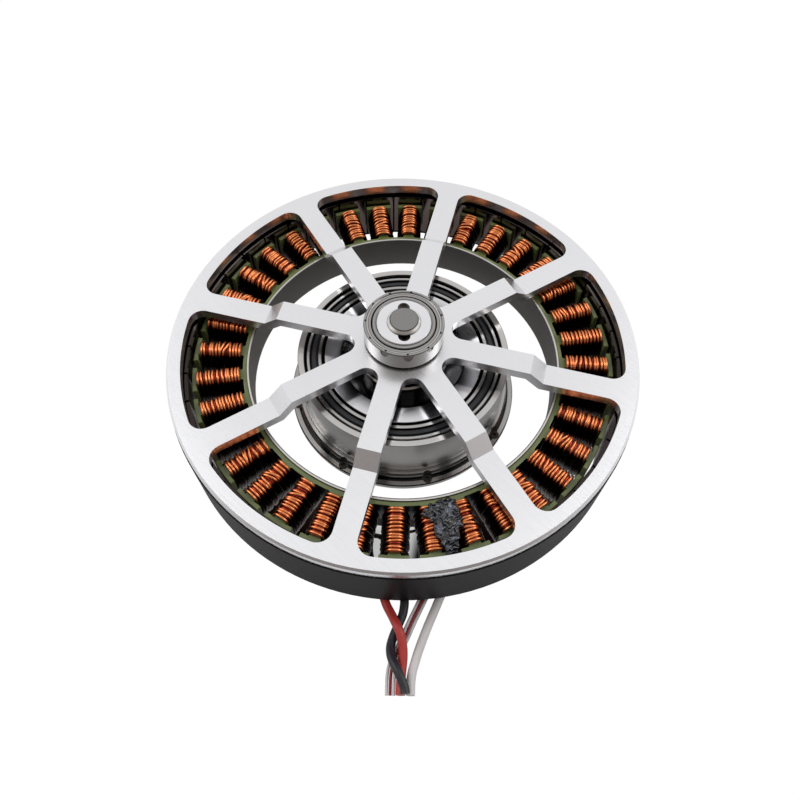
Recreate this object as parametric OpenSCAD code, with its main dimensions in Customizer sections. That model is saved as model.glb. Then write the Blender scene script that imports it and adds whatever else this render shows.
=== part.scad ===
// Planetary gear motor: a flat outer-rotor motor with a planetary gearbox in its hollow centre.
// Millimetres. The origin is on the axis, in the base's seating plane. The shaft end points up.

/* [Rotor] */
// Diameter of the rotor plate
plate_d = 222; // [210:1:270]
// Height of the rotor's rim face above the base
rim_z = 42; // [40:0.5:52]
// Thickness of the rotor plate
plate_t = 5; // [3.5:0.1:6]
// Width of the plate's rim beside the windows
rim_w = 6.65; // [5:0.05:10]
// Chamfer on the rim's upper edge
rim_chamfer = 1; // [0.4:0.1:2]
// Number of spokes
spoke_n = 8; // [5:1:10]
// Width of a spoke
spoke_w = 10.8; // [8:0.1:13]
// Rise of the inner part of the spokes above the rim face
spoke_rise = 5.9; // [3:0.1:8]
// Radius at which the spokes begin to rise, coming from the rim
ramp_outer_r = 67.6; // [65:0.1:72]
// Radius at which the spokes reach their full height
ramp_inner_r = 60.7; // [55:0.1:62]
// Fillet between two spokes at the hub
hub_fillet = 5.5; // [3:0.1:7]
// Fillet between a spoke and the rim
rim_fillet = 6.5; // [3:0.1:9]
// Wall of the steel flux ring
flux_wall = 5.9; // [4:0.1:8]
// Height of the flux ring
flux_h = 32.2; // [28:0.1:34]
// Number of magnets
magnet_n = 42; // [36:2:48]
// Thickness of a magnet
magnet_t = 3; // [2:0.1:4]
// Height of a magnet
magnet_h = 26; // [16:0.5:28]
// Space between two magnets
magnet_gap = 0.9; // [0.5:0.1:2]

/* [Stator] */
// Bore of the stator sleeve
stator_bore = 148.4; // [140:0.2:150]
// Wall of the stator sleeve
sleeve_wall = 1.2; // [0.8:0.1:2]
// Height of the stator sleeve
sleeve_h = 18.6; // [14:0.1:20]
// Height of the laminated core
core_h = 17.2; // [12:0.1:18.6]
// Radial width of the yoke
yoke_w = 2.1; // [1.8:0.1:5]
// Fillet between a tooth and the yoke
slot_fillet = 1; // [0.4:0.1:1.5]
// Number of teeth and coils
tooth_n = 36; // [24:3:36]
// Width of a tooth
tooth_w = 5.5; // [4:0.1:6]
// Radial thickness of a tooth's tip
tip_t = 2.2; // [1.5:0.1:3]
// Opening between two tooth tips
slot_opening = 4.2; // [2:0.1:5]
// Air gap between the tooth tips and the magnets
air_gap = 0.8; // [0.5:0.05:1.5]
// Thickness of a winding beside its tooth
winding_side = 2.2; // [1.5:0.1:2.8]
// Thickness of a winding above and below its tooth
winding_end = 3.1; // [2:0.1:3.4]

/* [Hub bearing] */
// Bore of the hub bearing
hub_brg_bore = 25; // [20:0.5:27]
// Radial thickness of the hub bearing, from bore to outer diameter
hub_brg_section = 6; // [5.8:0.1:7]
// Width of the hub bearing
hub_brg_w = 10; // [7:0.5:10]
// Number of balls in the hub bearing
hub_ball_n = 11; // [8:1:14]
// Diameter of the motor shaft in the hub
shaft_d = 15.6; // [12:0.1:17]
// Diameter of the locking screws between shaft and hub
lock_screw_d = 5.6; // [4:0.1:5.6]

/* [Gearbox] */
// Wall of the gear housing round its bearings
house_wall = 3.3; // [2.6:0.1:5]
// Reach of the base flange beyond the housing wall
flange_reach = 6; // [5.4:0.1:8]
// Radial thickness of the carrier bearings, from bore to outer diameter
carrier_brg_section = 9.5; // [9.3:0.1:10.5]
// Width of the upper carrier bearing
upper_brg_w = 10; // [8:0.5:11]
// Width of the lower carrier bearing
lower_brg_w = 5; // [4.5:0.1:5.5]
// Module of the gears
gear_module = 1.5; // [1.3:0.05:1.8]
// Teeth of the sun gear
sun_teeth = 16; // [13:3:19]
// Teeth of a planet gear
planet_teeth = 20; // [17:3:23]
// Face width of the gears
gear_face = 12; // [8:0.5:12]
// Wall of the ring gear behind its teeth
ring_wall = 1.625; // [1.2:0.025:3]
// Thinning of each gear tooth for backlash
backlash = 0.12; // [0.05:0.01:0.2]
// Diameter of the planet pins
pin_d = 8; // [6:0.5:9]
// Number of flange screws, and of the fixing holes between them
flange_screw_n = 8; // [6:1:10]
// Diameter of the fixing holes in the base
fix_hole_d = 2.5; // [2:0.1:2.6]
// Pitch circle of the output bolts
output_pcd = 66; // [62:1:68]
// Diameter of the output bolt holes
output_hole_d = 3.3; // [2.5:0.1:4.3]
// Diameter of the output pilot recess
output_pilot_d = 25; // [16:0.5:30]

/* [Leads] */
// Diameter of a phase lead
phase_lead_d = 4; // [3:0.1:4]
// Diameter of a sensor lead
sensor_lead_d = 1.4; // [1:0.1:1.4]

/* [Hidden] */
$fn = 96;

// Clearances
fit = 0.02;
running = 0.04;
loose = 0.3;
cut = 1;

// Rotor
plate_r = plate_d / 2;
window_r = plate_r - rim_w;
hub_top_z = rim_z + spoke_rise;
hub_bottom_z = hub_top_z - plate_t;
flux_r = plate_r + 0.5;
flux_bore_r = flux_r - flux_wall;
flux_top_z = rim_z - plate_t;
flux_bottom_z = flux_top_z - flux_h;
magnet_half_w = PI * (flux_bore_r - magnet_t) / magnet_n - magnet_gap / 2;
magnet_outer_r = sqrt(pow(flux_bore_r - fit, 2) - pow(magnet_half_w, 2));
magnet_inner_r = magnet_outer_r - magnet_t;

// Stator, hung below the rotor plate
sleeve_top_z = rim_z - 10.2;
sleeve_bottom_z = sleeve_top_z - sleeve_h;
core_z = (sleeve_top_z + sleeve_bottom_z - core_h) / 2 - 0.1;
bore_r = stator_bore / 2;
core_bore_r = bore_r + sleeve_wall;
yoke_r = core_bore_r + yoke_w;
tip_r = magnet_inner_r - air_gap;
tip_inner_r = tip_r - tip_t;
coil_w = tooth_w + 2 * winding_side;
coil_h = core_h + 2 * winding_end;
coil_start_r = yoke_r + slot_fillet + 0.1;
coil_end_r = tip_inner_r - 0.4;
coil_mid_z = core_z + core_h / 2;
magnet_z = coil_mid_z - magnet_h / 2;
coil_top_z = coil_mid_z + coil_h / 2;
coil_bottom_z = coil_mid_z - coil_h / 2;
coil_phase = 2;
potting_az = coil_phase + 180 / tooth_n - round(70 * tooth_n / 360) * 360 / tooth_n;
potting_rib = 2.4;
// Radius from which the potting's rib has room between two coils
rib_from_r = max(coil_start_r,
    (potting_rib / 2 + loose + coil_w / 2 / cos(180 / tooth_n)) / tan(180 / tooth_n));

// Hub and shaft
hub_brg_z = hub_top_z + 1.4;
hub_brg_top_z = hub_brg_z + hub_brg_w;
spigot_r = hub_brg_bore / 2;
spigot_top_z = hub_brg_top_z + 0.3;
shoulder_r = spigot_r + 1.7;
shaft_r = shaft_d / 2;
shaft_top_z = spigot_top_z + 2;
shaft_flange_r = 21.7;
shaft_flange_z = rim_z - 8.5;
shaft_flange_t = 3;
lower_boss_r = 14;
lower_boss_z = shaft_flange_z + shaft_flange_t;
ramp_inset = 1.5;
lock_screw_r = shaft_r + lock_screw_d / 2 - 2.7;
lock_screw_az = 15;
lock_screw_depth = 9;
hub_ball_d = 3.2;
hub_inner_land_r = spigot_r + 2.1;
hub_brg_r = spigot_r + hub_brg_section;
hub_outer_land_r = hub_brg_r - 1.9;
hub_ball_pcr = (hub_inner_land_r + hub_outer_land_r) / 2;

// Gearbox heights, from the base up
base_ring_t = 2.4;
flange_top_z = 4.6;
foot_top_z = 9;
house_top_z = rim_z - 7;
upper_brg_z = house_top_z - 1 - upper_brg_w;
upper_brg_top_z = upper_brg_z + upper_brg_w;
lower_brg_z = base_ring_t;
lower_brg_top_z = lower_brg_z + lower_brg_w;
gear_z = lower_brg_top_z + 1;
disc_z = 0.4;
disc_top_z = gear_z - 0.8;
top_plate_z = gear_z + gear_face + 0.8;
top_plate_t = 3.6;
recess_z = top_plate_z + top_plate_t;
sun_brg_z = recess_z;
sun_brg_w = 7;

// Gearbox radii
ring_teeth = sun_teeth + 2 * planet_teeth;
sun_pitch_r = gear_module * sun_teeth / 2;
planet_pitch_r = gear_module * planet_teeth / 2;
ring_pitch_r = gear_module * ring_teeth / 2;
planet_orbit_r = sun_pitch_r + planet_pitch_r;
ring_outer_r = ring_pitch_r + 1.25 * gear_module + ring_wall;
race_seat_w = 2;
race_od_r = ring_outer_r + race_seat_w;
race_bore_r = race_od_r - carrier_brg_section;
house_r = race_od_r + house_wall;
flange_r = house_r + flange_reach;
foot_r = house_r + 2.4;
groove_r = foot_r + 1;
inner_land_r = race_bore_r + 3.2;
outer_land_r = race_od_r - 3;
carrier_ball_pcr = (inner_land_r + outer_land_r) / 2;
upper_ball_d = 4.4;
upper_ball_n = floor(2 * PI * carrier_ball_pcr / (upper_ball_d + 2.3));
lower_ball_d = 3;
lower_ball_n = floor(2 * PI * carrier_ball_pcr / (lower_ball_d + 1.98));
lower_inner_land_r = inner_land_r + 0.7;
lower_outer_land_r = outer_land_r - 0.7;
pin_r = pin_d / 2;
bush_r = pin_r + 2;
pillar_r = 6.5;
pillar_orbit_r = planet_orbit_r + 3;
journal_bore_r = race_bore_r - 8.5;
journal_shoulder_r = inner_land_r - 0.6;
sun_neck_r = 10;
sun_race_od_r = 17.5;
sun_inner_land_r = sun_neck_r + 2.5;
sun_outer_land_r = sun_race_od_r - 2.5;
sun_ball_d = 4;
sun_ball_n = 10;
sun_ball_pcr = (sun_inner_land_r + sun_outer_land_r) / 2;
sun_gear_bore_r = 6.5;
flange_screw_orbit_r = foot_r + 0.8;
flange_screw_phase = 27;
fix_hole_orbit_r = house_r + 0.4;
fix_hole_depth = 7;
screw_head_r = 2.1;
screw_pocket_r = 2.3;
screw_pocket_z = 3.2;
screw_head_h = 1.5;

// Gears
pressure_angle = 20;
flank_steps = 4;
// Involute function in degrees
function inv(a) = tan(a) * 180 / PI - a;
// Half angle of a tooth at radius r
function half_tooth(teeth, r, thin) =
    let (pitch_r = gear_module * teeth / 2, base_r = pitch_r * cos(pressure_angle))
    90 / teeth - thin / 2 / pitch_r * 180 / PI + inv(pressure_angle) - inv(acos(min(1, base_r / r)));
function polar(r, a) = [r * cos(a), r * sin(a)];
// Outline of one tooth, centred on the direction mid
function tooth_points(teeth, root_r, top_r, thin, mid) =
    let (base_r = gear_module * teeth / 2 * cos(pressure_angle), from_r = max(base_r, root_r))
    let (radii = [for (i = [0:flank_steps]) from_r + (top_r - from_r) * i / flank_steps])
    let (foot = from_r > root_r ? [root_r] : [])
    [each [for (r = foot) polar(r, mid - half_tooth(teeth, from_r, thin))],
     each [for (r = radii) polar(r, mid - half_tooth(teeth, r, thin))],
     each [for (i = [flank_steps:-1:0]) polar(radii[i], mid + half_tooth(teeth, radii[i], thin))],
     each [for (r = foot) polar(r, mid + half_tooth(teeth, from_r, thin))]];
function gear_points(teeth, root_r, top_r, thin) =
    [for (i = [0:teeth - 1]) each tooth_points(teeth, root_r, top_r, thin, 360 * i / teeth)];

// Leads. Each route is [sideways, outwards, height] in the leads' own direction from the axis.
lead_az = 13;
lead_exit = 86;
lead_z = 8;
sleeve_r = phase_lead_d / 2 + 0.6;
block_from = -14;
block_to = 24;
red_route = [[-14, 86, 8], [-14, 89, 8], [-13.6, 92, 7.4], [-12.6, 95, 6.1], [-11.2, 98, 4.6],
    [-9.6, 101.5, 3], [-7.9, 105, 2.1], [-6.2, 109, 2.05], [-4.6, 113, 2.1], [-3, 116, 2.8], [-2, 118, 3.9],
    [-1.1, 120, 5.3], [0.1, 122.5, 6.3], [1.3, 125, 6.4], [2.2, 128, 5.6], [2.8, 131, 4.4], [3, 134, 3.4],
    [2.9, 137, 2.6], [2.6, 140, 2.2], [2.3, 144, 2.05], [2.2, 150, 2.05]];
black_route = [[-1, 86, 8], [-1, 89, 8], [-0.7, 92, 7.4], [0, 95, 6.1], [0.9, 98, 4.6], [1.9, 101.5, 3],
    [2.7, 105, 2.1], [3.1, 109, 2.05], [3.1, 113, 2.05], [2.4, 117, 2.05], [1.2, 120, 2.05],
    [-0.3, 123.5, 2.05], [-1.6, 127, 2.1], [-2.4, 130.5, 2.6], [-2.3, 133.5, 3.6], [-1.5, 136.5, 4.8],
    [0, 139.5, 5.9], [1.6, 142.5, 6.3], [3, 145.5, 6.1], [4, 148, 5.8], [4.3, 150, 5.7]];
white_route = [[27, 86, 8], [27, 89, 8], [26.5, 92, 7.4], [25.3, 95, 6.1], [23.9, 98, 4.6],
    [22.2, 101.5, 2.7], [20.6, 105, 2.05], [18.9, 109, 2.05], [17.2, 113, 2.05], [15.5, 117, 2.05],
    [13.8, 121, 2.05], [12.2, 125, 2.05], [10.7, 129, 2.05], [9.3, 133, 2.05], [8.1, 137, 2.05],
    [7, 141, 2.05], [6.5, 145, 2.05], [6.4, 150, 2.05]];
sensor_route = [[18, 86, 8], [18, 88, 7.9], [17.8, 91, 6.9], [17.3, 94, 5.2], [16.6, 97, 3.5],
    [15.6, 100, 2], [14.4, 103, 1], [13, 106, 0.75], [11.1, 110, 0.75], [9.2, 114, 0.75], [7.3, 118, 0.75],
    [5.5, 122, 0.75], [3.8, 126, 0.75], [1.9, 130, 0.75], [0, 134, 0.75], [-1.4, 138, 0.75],
    [-2, 142, 0.75], [-2.1, 146, 0.75], [-2.1, 150, 0.75]];
sensor_pitch = 1.55;
function shifted(route, dx) = [for (p = route) [p[0] + dx, p[1], p[2]]];
function turned(p) =
    [p[0] * cos(lead_az) + p[1] * sin(lead_az), p[0] * sin(lead_az) - p[1] * cos(lead_az), p[2]];
function unit(v) = v / norm(v);
// Tube of a given radius swept along a route
module tube(route, r, sides) {
    pts = [for (p = route) turned(p)];
    last = len(pts) - 1;
    rings = [for (i = [0:last])
        let (t = unit(pts[min(i + 1, last)] - pts[max(i - 1, 0)]))
        let (side = unit(cross(t, [0, 0, 1])), up = cross(side, t))
        each [for (k = [0:sides - 1], a = 360 * k / sides) pts[i] + r * (cos(a) * side + sin(a) * up)]];
    walls = [for (i = [0:last - 1]) each [for (k = [0:sides - 1])
        [i * sides + k, i * sides + (k + 1) % sides,
            (i + 1) * sides + (k + 1) % sides, (i + 1) * sides + k]]];
    ends = [[for (k = [sides - 1:-1:0]) k], [for (k = [0:sides - 1]) last * sides + k]];
    polyhedron(rings, concat(walls, ends), convexity = 8);
}

// Shared shapes
module ring(inner_r, outer_r, h) {
    difference() {
        cylinder(r = outer_r, h = h);
        translate([0, 0, -cut]) cylinder(r = inner_r, h = h + 2 * cut);
    }
}
module around(n, phase = 0) {
    for (i = [0:n - 1]) rotate(phase + 360 * i / n) children();
}
module at_orbit(r) {
    translate([r, 0, 0]) children();
}
// Race of a ball bearing between two radii, with a groove for balls on a pitch radius
module race(inner_r, outer_r, w, ball_pcr, ball_d, inner_edge = 0.4, outer_edge = 0.4) {
    difference() {
        rotate_extrude() polygon([[inner_r + 0.4, 0], [outer_r - 0.4, 0], [outer_r, 0.4],
            [outer_r, w - outer_edge], [outer_r - outer_edge, w], [inner_r + inner_edge, w],
            [inner_r, w - inner_edge], [inner_r, 0.4]]);
        translate([0, 0, w / 2]) rotate_extrude() translate([ball_pcr, 0])
            circle(d = ball_d + 0.16, $fn = 48);
    }
}
module ball_set(n, ball_pcr, ball_d, z) {
    around(n) translate([ball_pcr, 0, z]) sphere(d = ball_d, $fn = 24);
}
// Ring with a square window for each ball
module ball_cage(n, ball_pcr, ball_d, z, wall, h) {
    translate([0, 0, z - h / 2]) difference() {
        ring(ball_pcr - wall / 2, ball_pcr + wall / 2, h);
        around(n) translate([ball_pcr - wall, -ball_d / 2 - 0.1, h / 2 - ball_d / 2 - 0.1])
            cube([2 * wall, ball_d + 0.2, ball_d + 0.2]);
    }
}
module planet_place(k) {
    rotate(120 * (k - 1)) translate([planet_orbit_r, 0, 0]) children();
}

// Points of an arc about a centre
function arc(centre, r, from, to, n) = [for (i = [0:n]) centre + polar(r, from + (to - from) * i / n)];
// Plan of one window between two spokes, with its fillets at the hub and at the rim
module window_plan() {
    half = 180 / spoke_n;
    hub_centre = [spoke_w / 2 / sin(half) + hub_fillet / sin(half), 0];
    side = spoke_w / 2 + rim_fillet;
    along = sqrt(pow(window_r - rim_fillet, 2) - side * side);
    upper = polar(along, half) + polar(side, half - 90);
    lower = [upper[0], -upper[1]];
    reach = half - asin(side / (window_r - rim_fillet));
    polygon(concat(arc(hub_centre, hub_fillet, 90 + half, 270 - half, 12),
        arc(lower, rim_fillet, -90 - half, -reach, 8), arc([0, 0], window_r, 0.96 * -reach, 0.96 * reach, 26),
        arc(upper, rim_fillet, reach, 90 + half, 8)));
}

// Frustum with one flat for each spoke, given by the distances of its flats from the axis
module flats(lower_r, upper_r, h) {
    corner = cos(180 / spoke_n);
    rotate(180 / spoke_n) cylinder(r1 = lower_r / corner, r2 = upper_r / corner, h = h, $fn = spoke_n);
}
module rotor_spider() color("silver") {
    slope = (ramp_outer_r - ramp_inner_r) / spoke_rise;
    difference() {
        union() {
            rotate_extrude($fn = 180) polygon([[0, flux_top_z], [plate_r, flux_top_z],
                [plate_r, rim_z - rim_chamfer], [plate_r - rim_chamfer, rim_z], [0, rim_z]]);
            translate([0, 0, rim_z - cut]) flats(ramp_outer_r + slope * cut, ramp_inner_r, spoke_rise + cut);
        }
        translate([0, 0, flux_top_z - cut])
            flats(ramp_outer_r - ramp_inset + slope * cut, ramp_inner_r - ramp_inset, spoke_rise + cut);
        around(spoke_n, 180 / spoke_n) translate([0, 0, -cut]) linear_extrude(2 * rim_z) window_plan();
        cylinder(r = lower_boss_r - cut, h = 2 * rim_z);
    }
    difference() {
        rotate_extrude() polygon([[0, lower_boss_z], [lower_boss_r, lower_boss_z],
            [lower_boss_r, hub_top_z - cut], [shoulder_r, hub_top_z - cut], [shoulder_r, hub_brg_z],
            [spigot_r, hub_brg_z],
            [spigot_r, spigot_top_z - 0.3], [spigot_r - 0.3, spigot_top_z], [0, spigot_top_z]]);
        cylinder(r = shaft_r + fit, h = 2 * rim_z);
        lock_screw_holes();
    }
}
module lock_screw_holes() {
    around(2, lock_screw_az + 90) at_orbit(lock_screw_r) translate([0, 0, spigot_top_z - lock_screw_depth])
        cylinder(d = lock_screw_d, h = lock_screw_depth + cut, $fn = 40);
}
module flux_ring() color([0.12, 0.12, 0.12]) translate([0, 0, flux_bottom_z]) difference() {
    rotate_extrude($fn = 180) polygon([[flux_bore_r, 0], [flux_r - 0.8, 0], [flux_r, 0.8],
        [flux_r, flux_h - 0.3], [flux_r - 0.3, flux_h], [flux_bore_r, flux_h]]);
}
module magnets() color("dimgray") around(magnet_n)
    translate([magnet_inner_r, -magnet_half_w, magnet_z]) cube([magnet_t, 2 * magnet_half_w, magnet_h]);
module sun_shaft() color("gray") difference() {
    rotate_extrude() polygon([[0, gear_z - 0.5], [sun_gear_bore_r, gear_z - 0.5],
        [sun_gear_bore_r, gear_z + gear_face + 0.4], [sun_neck_r, gear_z + gear_face + 0.4],
        [sun_neck_r, sun_brg_z + sun_brg_w + fit], [sun_neck_r + 1.2, sun_brg_z + sun_brg_w + fit],
        [sun_neck_r + 1.2, shaft_flange_z], [shaft_flange_r, shaft_flange_z],
        [shaft_flange_r, shaft_flange_z + shaft_flange_t - 0.8],
        [shaft_flange_r - 0.8, shaft_flange_z + shaft_flange_t], [shaft_r, shaft_flange_z + shaft_flange_t],
        [shaft_r, spigot_top_z + 0.4], [shaft_r - 1.45, shaft_top_z], [0, shaft_top_z]]);
    intersection() {
        lock_screw_holes();
        cylinder(r = shaft_r + cut, h = spigot_top_z);
    }
}
module sun_gear() color("slategray") translate([0, 0, gear_z]) linear_extrude(gear_face) difference() {
    polygon(gear_points(sun_teeth, sun_pitch_r - 1.25 * gear_module, sun_pitch_r + gear_module, backlash));
    circle(r = sun_gear_bore_r + fit);
}
module lock_screws() color([0.3, 0.27, 0.25]) around(2, lock_screw_az + 90) at_orbit(lock_screw_r)
    translate([0, 0, spigot_top_z - lock_screw_depth]) difference() {
        cylinder(d = lock_screw_d - 2 * fit, h = lock_screw_depth - 1.4, $fn = 40);
        translate([0, 0, lock_screw_depth - 3.4]) cylinder(d = 2.6, h = 3, $fn = 6);
    }

// Hub bearing
module hub_inner_race() color("silver") translate([0, 0, hub_brg_z])
    race(spigot_r + fit, hub_inner_land_r, hub_brg_w, hub_ball_pcr, hub_ball_d);
module hub_outer_race() color("silver") translate([0, 0, hub_brg_z]) difference() {
    race(hub_outer_land_r, hub_brg_r, hub_brg_w, hub_ball_pcr, hub_ball_d);
    for (z = [-cut, hub_brg_w - 1]) translate([0, 0, z]) cylinder(r = hub_outer_land_r + 0.5, h = 1 + cut);
}
module hub_shield(z) color("lightgray") translate([0, 0, z])
    ring(hub_inner_land_r + 0.5, hub_outer_land_r + 0.45, 0.5);
module hub_upper_shield() hub_shield(hub_brg_top_z - 0.9);
module hub_lower_shield() hub_shield(hub_brg_z + 0.4);
module hub_balls() color("silver") ball_set(hub_ball_n, hub_ball_pcr, hub_ball_d, hub_brg_z + hub_brg_w / 2);
module hub_cage() color("goldenrod")
    ball_cage(hub_ball_n, hub_ball_pcr, hub_ball_d, hub_brg_z + hub_brg_w / 2, 1, 4.4);

// Stator
// Plan of one tooth, with a fillet on each side at the yoke
module tooth_plan() {
    root = yoke_r - 0.1;
    half = tooth_w / 2 + slot_fillet;
    end = tip_inner_r + 0.5 * cut;
    polygon(concat([[root - 0.9, -half]], arc([root + slot_fillet, -half], slot_fillet, 180, 90, 5),
        [[end, -tooth_w / 2], [end, tooth_w / 2]],
        arc([root + slot_fillet, half], slot_fillet, -90, -180, 5), [[root - 0.9, half]]));
}
module stator_core() color([0.42, 0.48, 0.32]) translate([0, 0, core_z]) linear_extrude(core_h) difference() {
    union() {
        circle(r = yoke_r, $fn = 180);
        around(tooth_n, coil_phase) tooth_plan();
        difference() {
            circle(r = tip_r, $fn = 180);
            circle(r = tip_inner_r, $fn = 180);
            around(tooth_n, coil_phase + 180 / tooth_n) translate([tip_inner_r - cut, -slot_opening / 2])
                square([tip_t + 2 * cut, slot_opening]);
        }
    }
    circle(r = core_bore_r, $fn = 180);
}
module stator_sleeve() color([0.35, 0.32, 0.31]) translate([0, 0, sleeve_bottom_z])
    ring(bore_r, core_bore_r - fit, sleeve_h, $fn = 180);
module round_rect(w, h, r) {
    square([w - 2 * r, h], center = true);
    square([w, h - 2 * r], center = true);
    for (x = [-1, 1], y = [-1, 1]) translate([x * (w / 2 - r), y * (h / 2 - r)]) circle(r = r, $fn = 32);
}
module coil() {
    translate([coil_start_r, 0, coil_mid_z]) rotate([90, 0, 90]) linear_extrude(coil_end_r - coil_start_r)
        difference() {
            round_rect(coil_w, coil_h, winding_side + winding_end / 2 - 0.3);
            square([tooth_w + 2 * fit, core_h + 2 * fit], center = true);
        }
}
module phase_coils(k) color([0.8, 0.45, 0.28]) around(tooth_n / 3, coil_phase + k * 360 / tooth_n) coil();
module phase_a_coils() phase_coils(0);
module phase_b_coils() phase_coils(1);
module phase_c_coils() phase_coils(2);
// Potting of the position sensor: a cap over two coils, with a rib down into the slot between them
module sensor_potting() color([0.2, 0.23, 0.28]) rotate(potting_az) {
    translate([0, 0, coil_top_z]) linear_extrude(2.1) polygon([[coil_start_r - 1.5, -4],
        [coil_start_r + 4, -6.5], [coil_end_r - 6, -7], [coil_end_r + 1, -4.5], [coil_end_r + 1, 3],
        [coil_end_r - 5, 6.5], [coil_start_r + 6, 5.5], [coil_start_r - 1.5, 4]]);
    translate([rib_from_r, -potting_rib / 2, coil_mid_z])
        cube([coil_end_r - rib_from_r, potting_rib, coil_h / 2 + 0.4]);
}
// Block under the yoke that holds the leads, with a short sleeve round each
module lead_block() color([0.1, 0.1, 0.1]) {
    difference() {
        translate([0, 0, lead_z - sleeve_r - 0.4])
            ring(core_bore_r + 0.2, yoke_r, core_z - lead_z + sleeve_r + 0.4);
        translate([0, 0, -cut]) rotate(lead_az - 90) linear_extrude(rim_z)
            polygon([[0, 0], polar(2 * plate_r, block_to), polar(3 * plate_r, 90), polar(3 * plate_r, 180),
                polar(3 * plate_r, 270), polar(2 * plate_r, block_from)]);
    }
    for (x = [red_route[0][0], black_route[0][0], sensor_route[0][0], white_route[0][0]])
        lead_sleeve(x, sqrt(pow(yoke_r - 1, 2) - x * x));
}
module lead_sleeve(x, y_start) {
    translate(turned([x, y_start, lead_z])) rotate([0, 0, lead_az]) rotate([90, 0, 0])
        cylinder(r = sleeve_r, h = lead_exit - fit - y_start, $fn = 32);
}
module red_lead() color([0.65, 0.2, 0.18]) tube(red_route, phase_lead_d / 2, 10);
module black_lead() color([0.08, 0.08, 0.1]) tube(black_route, phase_lead_d / 2, 10);
module white_lead() color([0.72, 0.7, 0.7]) tube(white_route, phase_lead_d / 2, 10);
module sensor_lead_left() color("white") tube(shifted(sensor_route, -sensor_pitch), sensor_lead_d / 2, 8);
module sensor_lead_middle() color("darkred") tube(sensor_route, sensor_lead_d / 2, 8);
module sensor_lead_right() color("white") tube(shifted(sensor_route, sensor_pitch), sensor_lead_d / 2, 8);

// Gearbox, fixed side
module gear_housing() color("darkgray") difference() {
    rotate_extrude($fn = 180) polygon([[ring_outer_r, lower_brg_top_z], [race_od_r, lower_brg_top_z],
        [race_od_r, base_ring_t], [flange_r, base_ring_t], [flange_r, flange_top_z - 0.5],
        [flange_r - 0.5, flange_top_z], [groove_r, flange_top_z], [groove_r, flange_top_z - 1.2],
        [foot_r, flange_top_z - 1.2], [foot_r, foot_top_z - 0.8], [foot_r - 0.8, foot_top_z],
        [house_r, foot_top_z], [house_r, foot_top_z + 0.4], [house_r - 0.3, foot_top_z + 0.7],
        [house_r - 0.3, foot_top_z + 1.1], [house_r, foot_top_z + 1.4], [house_r, house_top_z - 0.25],
        [house_r - 0.25, house_top_z], [race_od_r + 0.15, house_top_z], [race_od_r, house_top_z - 0.15],
        [race_od_r, upper_brg_z], [ring_outer_r, upper_brg_z]]);
    around(flange_screw_n, flange_screw_phase) at_orbit(flange_screw_orbit_r) {
        translate([0, 0, screw_pocket_z]) cylinder(r = screw_pocket_r, h = foot_top_z, $fn = 32);
        cylinder(d = fix_hole_d + 2 * fit, h = foot_top_z, $fn = 24);
    }
    fix_holes();
}
module fix_holes() {
    around(flange_screw_n, flange_screw_phase + 180 / flange_screw_n) at_orbit(fix_hole_orbit_r)
        translate([0, 0, -cut]) cylinder(d = fix_hole_d, h = fix_hole_depth + cut, $fn = 24);
}
module base_ring() color("gray") difference() {
    rotate_extrude($fn = 180) polygon([[journal_shoulder_r + 0.4, 0], [flange_r - 1, 0],
        [flange_r - 0.6, 0.4], [flange_r - 0.6, base_ring_t], [lower_outer_land_r + 0.5, base_ring_t],
        [lower_outer_land_r + 0.5, base_ring_t - 0.4], [journal_shoulder_r + 0.4, base_ring_t - 0.4]]);
    fix_holes();
    around(flange_screw_n, flange_screw_phase) at_orbit(flange_screw_orbit_r)
        translate([0, 0, -cut]) cylinder(d = fix_hole_d + 2 * fit, h = 2 * cut + base_ring_t, $fn = 24);
}
module flange_screws() color([0.3, 0.3, 0.3]) around(flange_screw_n, flange_screw_phase)
    at_orbit(flange_screw_orbit_r) difference() {
        union() {
            translate([0, 0, 0.4]) cylinder(d = fix_hole_d, h = screw_pocket_z, $fn = 24);
            translate([0, 0, screw_pocket_z]) cylinder(r = screw_head_r, h = screw_head_h, $fn = 32);
        }
        translate([0, 0, screw_pocket_z + 0.5]) cylinder(d = 2.3, h = screw_head_h, $fn = 6);
    }
module ring_gear() color("dimgray") translate([0, 0, gear_z]) linear_extrude(gear_face) difference() {
    circle(r = ring_outer_r - fit, $fn = 180);
    rotate(planet_teeth % 2 == 0 ? 180 / ring_teeth : 0)
        polygon(gear_points(ring_teeth, ring_pitch_r - 0.9 * gear_module, ring_pitch_r + 1.25 * gear_module,
            -backlash));
}

// Carrier bearings
module carrier_outer_race(z, w, ball_d, land_r, inner_edge = 0.4, outer_edge = 0.4) color("silver")
    translate([0, 0, z])
        race(land_r, race_od_r - fit, w, carrier_ball_pcr, ball_d, inner_edge, outer_edge, $fn = 120);
module carrier_inner_race(z, w, ball_d, land_r, inner_edge = 0.4, outer_edge = 0.4) color("silver")
    translate([0, 0, z])
        race(race_bore_r + fit, land_r, w, carrier_ball_pcr, ball_d, inner_edge, outer_edge, $fn = 120);
module upper_outer_race() carrier_outer_race(upper_brg_z, upper_brg_w, upper_ball_d, outer_land_r, 0.5, 1.1);
module upper_inner_race() carrier_inner_race(upper_brg_z, upper_brg_w, upper_ball_d, inner_land_r, 1.3, 0.2);
module upper_seal() color([0.12, 0.13, 0.15]) translate([0, 0, upper_brg_top_z]) rotate_extrude($fn = 120)
    polygon([[inner_land_r + loose, -1.5], [outer_land_r - fit, -1.5], [outer_land_r - fit, -1.1],
        [outer_land_r - 0.5, -1.1], [outer_land_r - 0.6, -0.4], [inner_land_r + 0.9, -0.4],
        [inner_land_r + 0.8, -1.1], [inner_land_r + loose, -1.1]]);
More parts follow.
